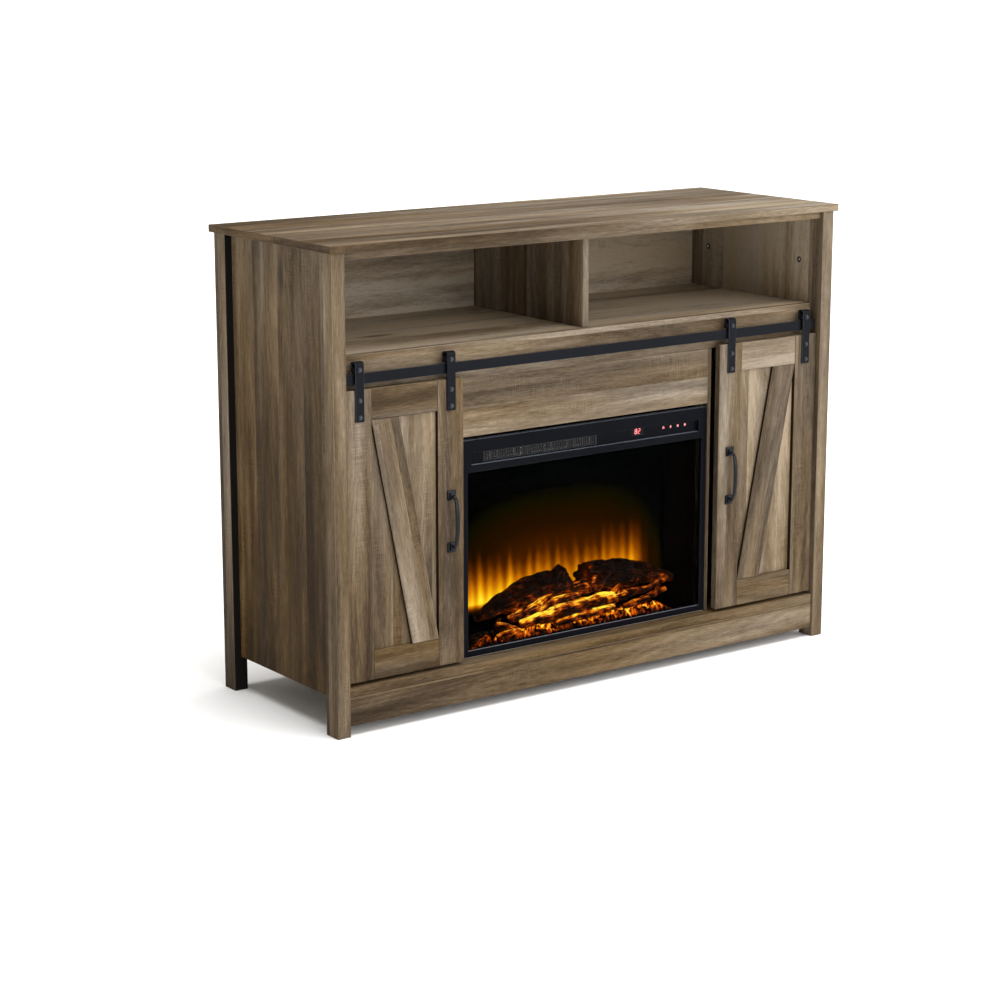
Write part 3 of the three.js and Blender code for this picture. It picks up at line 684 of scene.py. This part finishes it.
# %% Rolled shapes
def roll(rings, sides, place):
    """A grid rolled into a closed tube: place(u, v) says where each of its points goes."""
    shape = bmesh.new()
    bmesh.ops.create_grid(shape, x_segments=rings, y_segments=sides, size=0.5)
    for vert in shape.verts:
        vert.co = place(vert.co.x + 0.5, vert.co.y + 0.5)
    bmesh.ops.remove_doubles(shape, verts=shape.verts, dist=1e-6)
    open_edges = [edge for edge in shape.edges if edge.is_boundary]
    bmesh.ops.holes_fill(shape, edges=open_edges, sides=0)
    bmesh.ops.recalc_face_normals(shape, faces=shape.faces)
    return shape


def join_shape(whole, part):
    """Adds one working shape to another and clears the part."""
    mesh = bpy.data.meshes.new("part")
    part.to_mesh(mesh)
    part.free()
    whole.from_mesh(mesh)
    bpy.data.meshes.remove(mesh)


def block(shape, centre, size):
    matrix = Matrix.Translation(centre) @ Matrix.Diagonal((*size, 1))
    bmesh.ops.create_cube(shape, size=1, matrix=matrix)


print("shape helpers ready")

# %% Door pulls
PULL_FOOT = (20 * MM, 4 * MM, 20 * MM)
PULL_NECK = (12 * MM, 5 * MM, 12 * MM)


def door_pull(side):
    """A cast pull as high and as deep as its CAD node."""
    node = side + "_door_handle"
    low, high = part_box(node)
    middle = (low + high) / 2
    foot_reach = (high.z - low.z) / 2 - 10 * MM
    shape = bmesh.new()
    for end in (-1, 1):
        foot = Vector((middle.x, high.y - 2.0 * MM, middle.z + end * foot_reach))
        block(shape, foot, PULL_FOOT)
        block(shape, foot + FRONT * 3.6 * MM, PULL_NECK)
    ease_edges(shape, 1.1 * MM)

    def bow(u, v):
        turn = 2 * math.pi * v
        swing = math.pi * u
        full = math.sin(swing)
        rise = full ** 0.55
        reach = foot_reach * (1.0 if u in (0.0, 1.0) else 0.985)
        width = 3.0 * MM + 2.4 * MM * full
        depth = 2.3 * MM + 0.4 * MM * full
        travel = high.y - low.y - 8.2 * MM
        depth_now = high.y - 5 * MM - travel * rise
        centre = Vector((middle.x, depth_now, middle.z - reach * math.cos(swing)))
        out = Vector((0, -math.sin(swing), -math.cos(swing))) if 0 < u < 1 else Vector((0, 0, 1))
        return centre + Vector((math.cos(turn) * width, 0, 0)) + out * math.sin(turn) * depth

    join_shape(shape, roll(28, 12, bow))
    add_piece(node + "_cast", shape, BODY_OF[node], [cast_iron], [node], smooth_under=40)


door_pull("left")
door_pull("right")
print("door pulls done")

# %% [markdown]
# ## The fireplace insert's front
# A pressed steel bezel in satin black frames the glass. Its channel holds the heater's outlet grille
# on the left, and the display and four keys on the right. The bezel's edges and its upward ledges take
# a lighter coat: a painted highlight of the light they catch, and on the edges also rubbed wear. The
# glass is smoked, and reflects little.

# %% Bezel, glass and grille
bezel_copy = bench_copy("insert_bezel")
rubbed_and_highlit = set(ease_edges(bezel_copy, 1.2 * MM))
bezel_copy.normal_update()
# Painted highlight: the eased edges and the upward ledges take the lighter rim coat.
for face in bezel_copy.faces:
    if face in rubbed_and_highlit or face.normal.z > FACING:
        face.material_index = 1
add_piece("insert_bezel_finished", bezel_copy, "cabinet", [bezel_paint, highlit_bezel_rim],
          ["insert_bezel"])
refinish("outlet_grille", grille_paint)


def smoked_glass():
    material, graph, shader = new_material("smoked_glass", Transmission_Weight=1.0, IOR=1.03)
    shader.inputs["Base Color"].default_value = (0.70, 0.70, 0.72, 1)
    place = graph.add("TexCoord", out=3)
    film = graph.noise(place, (6, 6, 6), detail=3, seed=7)
    graph.feed(shader.inputs["Roughness"], graph.remap(film, 0.4, 0.9, 0.0, 0.004))
    return material


refinish("insert_glass", smoked_glass())

sill = bmesh.new()
bezel_low, bezel_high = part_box("insert_bezel")
sill_size = (bezel_high.x - bezel_low.x, 8 * MM, 1.8 * MM)
sill_y = bezel_low.y + 5 * MM
block(sill, Vector((0, sill_y, bezel_low.z - 1.0 * MM)), sill_size)
ease_edges(sill, 0.4 * MM)
add_piece("sill_trim", sill, "cabinet", [sill_beige])
print("bezel from", tuple(round(v, 3) for v in bezel_low), "to", tuple(round(v, 3) for v in bezel_high))

# %% [markdown]
# ## Display and keys
# A lit display is a black window with bars of red light behind it. Seven bars make any digit, and
# here they read the room heat in degrees Fahrenheit. Each key carries one small lit sign: power,
# flame, heat and timer.


# %% Sign paints
def lit_paint(name, colour, core, strength):
    """A lit sign whose light shifts unevenly between a deep and a pale red."""
    material, graph, shader = new_material(name, Emission_Strength=strength, Roughness=0.5)
    place = graph.add("TexCoord", out=3)
    uneven = graph.noise(place, (900, 900, 900), detail=1, seed=2)
    light = graph.mix(graph.remap(uneven, 0.35, 0.65), (*colour, 1), (*core, 1))
    graph.feed(shader.inputs["Emission Color"], light)
    graph.feed(shader.inputs["Base Color"], light)
    return material


digit_red = lit_paint("digit_red", (1.0, 0.03, 0.05), (1.0, 0.38, 0.40), 1.3)
sign_pink = lit_paint("sign_pink", (1.0, 0.14, 0.16), (1.0, 0.55, 0.56), 0.9)
key_gloss = coated("key_gloss_black", (0.007, 0.006, 0.008), 0.2, grain=900, skin=0.03)
print("sign paints ready")

# %% Figures and strokes
SEGMENTS = {
    "top": (0, 1, True),
    "middle": (0, 0, True),
    "bottom": (0, -1, True),
    "upper_left": (-1, 0.5, False),
    "upper_right": (1, 0.5, False),
    "lower_left": (-1, -0.5, False),
    "lower_right": (1, -0.5, False),
}
UNLIT = {"8": (), "2": ("upper_left", "lower_right")}


def digit(shape, figure, centre, width, height):
    """Adds the lit bars of one figure, leaning a little as display figures do."""
    for segment, (across, up, level) in SEGMENTS.items():
        if segment in UNLIT[figure]:
            continue
        rise = up * height / 2
        spot = centre + Vector((across * width / 2 + rise * 0.12, 0, rise))
        long_side = width - 1.2 * MM if level else height / 2 - 1.2 * MM
        size = (long_side, 0.2 * MM, 1.2 * MM) if level else (1.2 * MM, 0.2 * MM, long_side)
        block(shape, spot, size)


def bent_stroke(shape, points, width):
    """A thin raised line through the points, one short bar for each stretch."""
    for start, end in zip(points, points[1:]):
        run = end - start
        turn = Matrix.Rotation(math.atan2(run.x, run.z), 4, "Y")
        size = Matrix.Diagonal((width, 0.15 * MM, run.length + width * 0.6, 1))
        matrix = Matrix.Translation((start + end) / 2) @ turn @ size
        bmesh.ops.create_cube(shape, size=1, matrix=matrix)


def arc(centre, radius, start, end, steps=10):
    """Points on a circle on the front face, angles in degrees from straight up."""
    angles = [math.radians(start + (end - start) * i / steps) for i in range(steps + 1)]
    return [centre + radius * Vector((math.sin(a), 0, math.cos(a))) for a in angles]


print("figures and strokes ready")


# %% Key signs
def sign(node):
    """The small lit sign on one key."""
    low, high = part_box(node)
    centre = Vector(((low.x + high.x) / 2, low.y - 0.05 * MM, (low.z + high.z) / 2))
    shape = bmesh.new()
    size = 1.8 * MM
    up = Vector((0, 0, size))
    side = Vector((size, 0, 0))
    if node == "power_key":
        bent_stroke(shape, arc(centre, size, 35, 325, 14), 0.7 * MM)
        bent_stroke(shape, [centre + up * 0.2, centre + up * 1.25], 0.7 * MM)
    elif node == "flame_key":
        tip = centre + up * 1.3
        outline = [tip, centre + side * 0.75, centre + side * 0.6 - up * 0.8]
        outline += [centre - side * 0.6 - up * 0.8, centre - side * 0.75, tip]
        bent_stroke(shape, outline, 0.7 * MM)
    elif node == "heat_key":
        for across in (-0.8, 0, 0.8):
            foot = centre + side * across - up
            wave = [foot, foot + up * 0.7 + side * 0.25, foot + up * 1.4 - side * 0.1, foot + up * 2]
            bent_stroke(shape, wave, 0.6 * MM)
    else:
        bent_stroke(shape, arc(centre, size, 0, 360, 14), 0.6 * MM)
        bent_stroke(shape, [centre + up * 0.8, centre, centre + side * 0.6], 0.6 * MM)
    add_piece(node + "_sign", shape, BODY_OF[node], [sign_pink])


for key in ("power_key", "flame_key", "heat_key", "timer_key"):
    coated_copy(key, 0.4 * MM, [key_gloss], smooth_under=35)
    sign(key)
print("key signs lit")

# %% Display
board_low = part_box("control_board")[0]
DISPLAY_CENTRE = Vector((135.5 * MM, board_low.y, 516.5 * MM))
WINDOW_DEPTH = 6 * MM
board_copy = bench_copy("control_board")
bmesh.ops.recalc_face_normals(board_copy, faces=board_copy.faces)
for face in board_copy.faces:
    in_front = face.calc_center_median().y < board_low.y + WINDOW_DEPTH
    face.material_index = 1 if in_front else 0
add_piece("control_board_dressed", board_copy, "cabinet", [green_board, display_black],
          ["control_board"])
figures = bmesh.new()
for figure, across in (("8", -4.2 * MM), ("2", 4.2 * MM)):
    spot = DISPLAY_CENTRE + Vector((across, -0.12 * MM, 0))
    digit(figures, figure, spot, 5.0 * MM, 10.0 * MM)
add_piece("display_figures", figures, "cabinet", [digit_red])
print("display lit")

# %% [markdown]
# ## Behind the glass
# The firebox is a black steel case. At its back stands the flame screen: a frosted sheet that a
# turning foil rotor lights from below, so the glow is strongest low down and breaks into upright
# fingers. The picture is drawn by height and by three waves across the width, and it fades out under
# a dome.


# %% Flame picture
DOME_HALF_WIDTH = 0.300
DOME_FOOT = 0.12
DOME_HEIGHT = 0.275
FINGER_WAVES = ((25 * MM, 0.28), (41 * MM, 0.14), (67 * MM, 0.10))
FLAME_TONES = (
    (0.00, (0.0, 0.0, 0.0)),
    (0.10, (0.0030, 0.0026, 0.0)),
    (0.24, (0.0140, 0.0036, 0.0)),
    (0.40, (0.070, 0.014, 0.0)),
    (0.55, (0.230, 0.052, 0.0)),
    (0.70, (0.560, 0.165, 0.001)),
    (0.86, (0.900, 0.440, 0.003)),
    (1.00, (1.000, 0.800, 0.030)),
)


def flame_picture():
    graph, given, result = new_group("flame picture", {"Vector": "Vector"}, {"Color": "Color"})
    axes = graph.add("SeparateXYZ", {0: given["Vector"]}).node.outputs
    across, height = axes["X"], axes["Z"]
    wander = graph.noise(given["Vector"], (9, 1, 4), detail=2, seed=4)
    swayed = graph.maths("MULTIPLY_ADD", graph.maths("SUBTRACT", wander, 0.5), 0.05, across)
    tongue = graph.add("CombineXYZ", {0: swayed})
    fingers = 0.5
    for gap, weight in FINGER_WAVES:
        wave = graph.maths("SINE", graph.maths("MULTIPLY", swayed, 2 * math.pi / gap))
        fingers = graph.maths("MULTIPLY_ADD", wave, weight, fingers)
    tall = graph.noise(tongue, (16, 1, 1), detail=1, seed=15)

    base = graph.maths("MULTIPLY_ADD", across, 0.09, 0.190)
    climb = graph.maths("SUBTRACT", height, base)
    reach = graph.maths("MULTIPLY_ADD", fingers, 0.032, graph.remap(tall, 0.3, 0.7, 0.098, 0.140))
    fall = graph.maths("SUBTRACT", 1.0, graph.maths("DIVIDE", climb, reach), clamp=True)
    dim = graph.maths("MULTIPLY_ADD", fingers, 0.24, 0.76)
    flame = graph.maths("MULTIPLY", graph.maths("POWER", fall, 1.1), dim)
    hot = graph.maths("ABSOLUTE", graph.maths("ADD", across, 0.165))
    flame = graph.maths("MULTIPLY", flame, graph.remap(hot, 0.05, 0.24, 1.08, 0.84))

    lean = graph.maths("MULTIPLY", across, 1.0 / DOME_HALF_WIDTH)
    lift = graph.maths("SUBTRACT", height, DOME_FOOT)
    lift = graph.maths("MULTIPLY", lift, 1.0 / DOME_HEIGHT)
    sides = graph.maths("POWER", graph.maths("ABSOLUTE", lean), 3.0)
    crown = graph.maths("POWER", graph.maths("MAXIMUM", lift, 0.0), 3.0)
    round_off = graph.maths("ADD", sides, crown)
    dome = graph.remap(round_off, 1.0, 0.86)
    glow = graph.remap(round_off, 0.9, 0.1, 0.06, 0.33)
    value = graph.maths("SMOOTH_MAX", flame, glow, 0.12)
    value = graph.maths("MULTIPLY", value, dome)
    value = graph.maths("MULTIPLY", value, graph.remap(height, 0.150, 0.172))
    value = graph.maths("MULTIPLY", value, graph.remap(across, 0.262, 0.215, 0.25, 1.0))
    graph.feed(result["Color"], graph.ramp(value, FLAME_TONES))
    return graph.tree


flame_group = flame_picture()
print("flame picture nodes:", len(flame_group.nodes))


# %% Flame screen
def flame_screen_finish():
    material, graph, shader = new_material(
        "lit_flame_screen", Emission_Strength=1.5, Roughness=0.6, Specular_IOR_Level=0.0)
    place = graph.add("TexCoord", out=3)
    picture = use_group(graph, flame_group, {"Vector": place})
    graph.feed(shader.inputs["Emission Color"], picture["Color"])
    frost = graph.noise(place, (300, 300, 300), detail=2, seed=1)
    graph.feed(shader.inputs["Base Color"], graph.ramp(frost, (
        (0.3, (0.0005, 0.0005, 0.0005)),
        (0.7, (0.0010, 0.0010, 0.0010)),
    )))
    return material


refinish("flame_screen", flame_screen_finish())
print("flame screen lit")

# %% [markdown]
# ## Cast logs and embers
# The log set is resin, cast from real charred logs and painted. Each log here is a rolled grid whose
# skin rises and sinks in long ridges, as bark does. Two attributes travel with it: the relief of the
# bark, and how much ember light the log gets. The finish is charred brown, and the light shows first
# in the grooves and along the lower edges.


# %% Ember finish
EMBER_TONES = (
    (0.00, (0.0, 0.0, 0.0)),
    (0.30, (0.012, 0.0016, 0.0)),
    (0.46, (0.120, 0.012, 0.0)),
    (0.66, (0.460, 0.060, 0.001)),
    (0.86, (0.950, 0.310, 0.008)),
    (1.00, (1.000, 0.740, 0.045)),
)


def ember_finish(name, char, streak, strength):
    """Charred resin lit from within: the attributes say where the light comes through."""
    material, graph, shader = new_material(
        name, Roughness=0.72, Emission_Strength=strength, Specular_IOR_Level=0.1)
    place = graph.add("TexCoord", out=3)
    relief = graph.add("Attribute", attribute_name="relief", out=2)
    glow = graph.add("Attribute", attribute_name="glow", out=2)
    skin = graph.add("Attribute", attribute_name="bark", out=1) if streak else place
    fine = graph.noise(skin, streak or (90, 90, 90), detail=4, seed=9, roughness=0.65)
    patches = graph.noise(place, (17, 17, 17), detail=2, seed=19)
    swing = graph.maths("ABSOLUTE", graph.remap(fine, 0.36, 0.64, -1, 1))
    cracks = graph.maths("SUBTRACT", 1.0, swing)
    light = graph.maths("MULTIPLY_ADD", graph.maths("POWER", cracks, 7.0), 0.42, glow)
    light = graph.maths("MULTIPLY_ADD", graph.maths("SUBTRACT", fine, 0.53), 2.8, light)
    light = graph.maths("MULTIPLY_ADD", relief, 0.55, light)
    light = graph.maths("MULTIPLY_ADD", graph.maths("SUBTRACT", patches, 0.54), 1.3, light)
    light = graph.maths("MULTIPLY", light, graph.remap(glow, 0.0, 0.08))
    graph.feed(shader.inputs["Emission Color"], graph.ramp(light, EMBER_TONES))
    dark = tuple(0.35 * part for part in char)
    graph.feed(shader.inputs["Base Color"], graph.mix(fine, (*dark, 1), (*char, 1)))
    bump = graph.add("Bump", {"Height": fine, "Strength": 0.9, "Distance": 0.004})
    graph.feed(shader.inputs["Normal"], bump)
    return material


log_bark = ember_finish("charred_log", (0.0040, 0.0022, 0.0014), (300, 300, 40), 1.7)
ember_coal = ember_finish("ember_coal", (0.0050, 0.0028, 0.0016), None, 2.0)
print("ember finishes ready")


# %% Log builder
LOG_SIDES = 36
RING_GAP = 5 * MM
RIDGE_HEIGHT = 0.26
KNOB_HEIGHT = 0.26
CRACK_DEPTH = 0.30
CRACK_WIDTH = 0.18


def log(start, end, radii, glow, seed, sag=0.0):
    """One bark-covered log: radii at its start, middle and end, glow (low side, high side)."""
    start, end = Vector(start) * MM, Vector(end) * MM
    length = (end - start).length
    along = (end - start).normalized()
    level = along.cross(UPRIGHT).normalized()
    rise = level.cross(along)
    rings = max(10, int(length / RING_GAP))

    def skin(u, v):
        turn = 2 * math.pi * (v % 1.0)
        out = level * math.cos(turn) + rise * math.sin(turn)
        early, middle, late = (r * MM for r in radii)
        radius = early * (1 - u) ** 2 + 2 * middle * u * (1 - u) * 1.15 + late * u * u
        ring = Vector((math.cos(turn) * 2.4, math.sin(turn) * 2.4, u * length * 14 + seed))
        ridge = noise.noise(ring) + 0.5 * noise.noise(ring * 2.3)
        knots = noise.noise(Vector((math.cos(turn), math.sin(turn), u * length * 22 + seed * 3)))
        crack = abs(noise.noise(ring * 1.6 + Vector((7, 3, 0))))
        groove = CRACK_DEPTH * max(0.0, CRACK_WIDTH - crack) / CRACK_WIDTH
        radius *= 1 + RIDGE_HEIGHT * ridge + KNOB_HEIGHT * knots - groove
        bend = rise * sag * MM * math.sin(math.pi * u)
        return start + along * length * u + bend + out * radius

    shape = roll(rings, LOG_SIDES, skin)
    relief = shape.verts.layers.float.new("relief")
    glows = shape.verts.layers.float.new("glow")
    bark = shape.verts.layers.float_vector.new("bark")
    for vert in shape.verts:
        u = max(0.0, min(1.0, (vert.co - start).dot(along) / length))
        axis_point = start + along * length * u + rise * sag * MM * math.sin(math.pi * u)
        out = (vert.co - axis_point).normalized()
        ridge = noise.noise(vert.co * 90 + Vector((seed, 0, 0)))
        low_side = max(0.0, -out.z * 0.7 - out.y * 0.5)
        high_side = max(0.0, out.z)
        vert[relief] = ridge
        vert[glows] = glow[0] * low_side + glow[1] * high_side
        across = Vector((out.dot(level), out.dot(rise))) * radii[1] * MM
        vert[bark] = Vector((across.x, across.y, u * length + seed))
    return shape


print("log builder ready")

# %% Log pile
# start, end, radii (millimetres), glow (low side, high side), seed, sag
LOGS = (
    ((-238, -112, 156), (-8, -120, 206), (7, 34, 25), (0.16, 0.07), 1, 10),
    ((-44, -118, 206), (-22, -124, 238), (17, 15, 9), (0.20, 0.14), 3, 0),
    ((40, -118, 204), (286, -112, 166), (33, 29, 9), (0.18, 0.07), 5, 10),
    ((-32, -124, 178), (112, -126, 182), (15, 17, 13), (0.26, 0.26), 9, 4),
    ((-36, -128, 184), (-14, -126, 208), (10, 8, 5), (0.36, 0.36), 11, 0),
    ((-170, -138, 150), (6, -140, 172), (8, 13, 9), (0.14, 0.66), 13, 4),
    ((-150, -150, 138), (126, -152, 158), (9, 16, 12), (0.16, 0.92), 17, 6),
    ((92, -150, 154), (118, -150, 182), (11, 9, 5), (0.44, 0.82), 18, 0),
    ((-60, -156, 126), (92, -158, 138), (6, 10, 6), (0.30, 0.88), 19, 3),
    ((-100, -140, 166), (-64, -142, 186), (9, 8, 4), (0.34, 0.72), 21, 0),
    ((70, -146, 150), (206, -140, 160), (6, 11, 5), (0.18, 0.58), 23, 3),
    ((-222, -148, 116), (-198, -142, 158), (4, 7, 3), (0.36, 0.34), 29, 0),
    ((-196, -150, 112), (-214, -146, 146), (3, 6, 3), (0.40, 0.36), 30, 0),
    ((-212, -152, 150), (-150, -150, 124), (4, 6, 4), (0.34, 0.72), 31, 2),
    ((-214, -156, 122), (-156, -156, 128), (5, 7, 4), (0.55, 0.84), 33, 2),
    ((172, -146, 138), (246, -142, 152), (5, 8, 4), (0.24, 0.54), 37, 1),
    ((186, -138, 154), (252, -134, 170), (4, 6, 3), (0.24, 0.46), 41, 1),
    ((214, -142, 140), (236, -138, 172), (4, 5, 3), (0.26, 0.40), 45, 0),
    ((118, -156, 134), (192, -154, 142), (5, 8, 4), (0.32, 0.66), 43, 1),
)
log_pile = bmesh.new()
log_pile.verts.layers.float.new("relief")
log_pile.verts.layers.float.new("glow")
log_pile.verts.layers.float_vector.new("bark")
for start, end, radii, glow, seed, sag in LOGS:
    join_shape(log_pile, log(start, end, radii, glow, seed, sag))
log_finish = add_piece("log_pile", log_pile, "cabinet", [log_bark], ["log_set"],
                       smooth_under=60)
print("logs:", len(LOGS), "faces:", len(log_finish.data.polygons))


# %% Ember bed
COALS_PER_METRE = 135


def ember_bed():
    """A skirted tray heaped with small coals, brightest along its front."""
    low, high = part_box("ember_bed")
    shape = bmesh.new()
    bmesh.ops.create_grid(shape, x_segments=240, y_segments=44, size=0.5)
    relief = shape.verts.layers.float.new("relief")
    glows = shape.verts.layers.float.new("glow")
    size = high - low
    for vert in shape.verts:
        u, v = vert.co.x + 0.5, vert.co.y + 0.5
        place = Vector((low.x + u * size.x, low.y + v * size.y, 0))
        distances, centres = noise.voronoi(place * COALS_PER_METRE, distance_metric="DISTANCE")
        coal = max(0.0, 0.62 - distances[0])
        heap = 0.30 + 0.28 * math.sin(math.pi * min(1.0, v * 1.15)) + 0.10 * noise.noise(place * 16)
        rim = min(1.0, 12 * min(u, 1 - u), 5 * v + 0.02, 8 * (1 - v) + 0.02)
        place.z = low.z + size.z * min(0.99, max(0.0, rim * (heap + 0.34 * coal)))
        vert.co = place
        gap = distances[1] - distances[0]
        front_light = max(0.0, 1.0 - abs(v - 0.26) / 0.17)
        ends = min(1.0, 9 * min(u, 1 - u))
        lump = noise.noise(centres[0] * 2.0)
        vert[relief] = 0.7 - 1.6 * gap
        vert[glows] = max(0.0, front_light * ends * (0.42 + 0.80 * lump))
    edges = [edge for edge in shape.edges if edge.is_boundary]
    skirt = bmesh.ops.extrude_edge_only(shape, edges=edges)["geom"]
    for item in skirt:
        if isinstance(item, bmesh.types.BMVert):
            item.co.z = low.z
    bmesh.ops.holes_fill(shape, edges=[e for e in shape.edges if e.is_boundary], sides=0)
    bmesh.ops.recalc_face_normals(shape, faces=shape.faces)
    return add_piece("ember_bed_coals", shape, "cabinet", [ember_coal], ["ember_bed"],
                     smooth_under=60)


print("ember bed faces:", len(ember_bed().data.polygons))

# %% [markdown]
# ## Inside the firebox
# These pieces are seen only with the insert open, so the CAD shapes stay and get true finishes: black
# sheet steel, zinc-plated motor cans, bright foil on the rotor, and a pale ceramic heater.

# %% Inner pieces
refinish("insert_housing", heat_paint)
refinish("flame_rotor", foil)
refinish("rotor_motor", zinc)
refinish("blower_motor", zinc)
refinish("blower_wheel", nylon)
refinish("heating_element", ceramic)
refinish("cord_gland", nylon)
print("inner pieces refinished")

# %% [markdown]
# ## Fasteners that show
# Cam locks pull the boards together, and their dark caps show on the inner walls of the open
# compartments. Small nails hold the hardboard backs to the posts and shelves.


# %% Cam caps
def wall_disc(shape, centre, radius, height, direction):
    """A low drum on a side wall, facing along X."""
    turn = Matrix.Rotation(direction * math.pi / 2, 4, "Y")
    matrix = Matrix.Translation(centre + Vector((direction * height / 2, 0, 0))) @ turn
    bmesh.ops.create_cone(shape, cap_ends=True, segments=24, radius1=radius, radius2=radius * 0.86,
                          depth=height, matrix=matrix)


INNER_WALL = 0.6107
CAM_SPOTS = ((-0.1439, 0.840), (0.1601, 0.839))
for side, sign_of in (("left", -1), ("right", 1)):
    caps = bmesh.new()
    for depth, height in CAM_SPOTS:
        spot = Vector((sign_of * INNER_WALL, depth, height))
        wall_disc(caps, spot, 6.5 * MM, 0.7 * MM, -sign_of)
        rim_faces = set(caps.faces)
        wall_disc(caps, spot + Vector((-sign_of * 0.7 * MM, 0, 0)), 3.4 * MM, 0.5 * MM, -sign_of)
        for face in set(caps.faces) - rim_faces:
            face.material_index = 1
    add_piece(side + "_cam_caps", caps, "cabinet", [black_edge, zinc])
print("cam caps:", 2 * len(CAM_SPOTS))

# %% Back panel nails
NAIL_GAP = 0.16
NAIL_INSET = 6 * MM
NAIL_HEAD = 0.8 * MM
nails = bmesh.new()
nail_count = 0
for node in ("media_back_panel", "left_back_panel", "right_back_panel"):
    low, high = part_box(node)
    columns = max(2, round((high.x - low.x) / NAIL_GAP))
    rows = max(2, round((high.z - low.z) / NAIL_GAP))
    spots = [(i / columns, j / rows) for i in range(columns + 1) for j in range(rows + 1)
             if i in (0, columns) or j in (0, rows)]
    for u, v in spots:
        x = low.x + NAIL_INSET + u * (high.x - low.x - 2 * NAIL_INSET)
        z = low.z + NAIL_INSET + v * (high.z - low.z - 2 * NAIL_INSET)
        turn = Matrix.Rotation(-math.pi / 2, 4, "X")
        bmesh.ops.create_cone(
            nails,
            cap_ends=True,
            segments=10,
            radius1=2.4 * MM,
            radius2=1.5 * MM,
            depth=NAIL_HEAD,
            matrix=Matrix.Translation((x, high.y + NAIL_HEAD / 2, z)) @ turn,
        )
        nail_count += 1
add_piece("back_panel_nails", nails, "cabinet", [zinc])
print("nails:", nail_count)
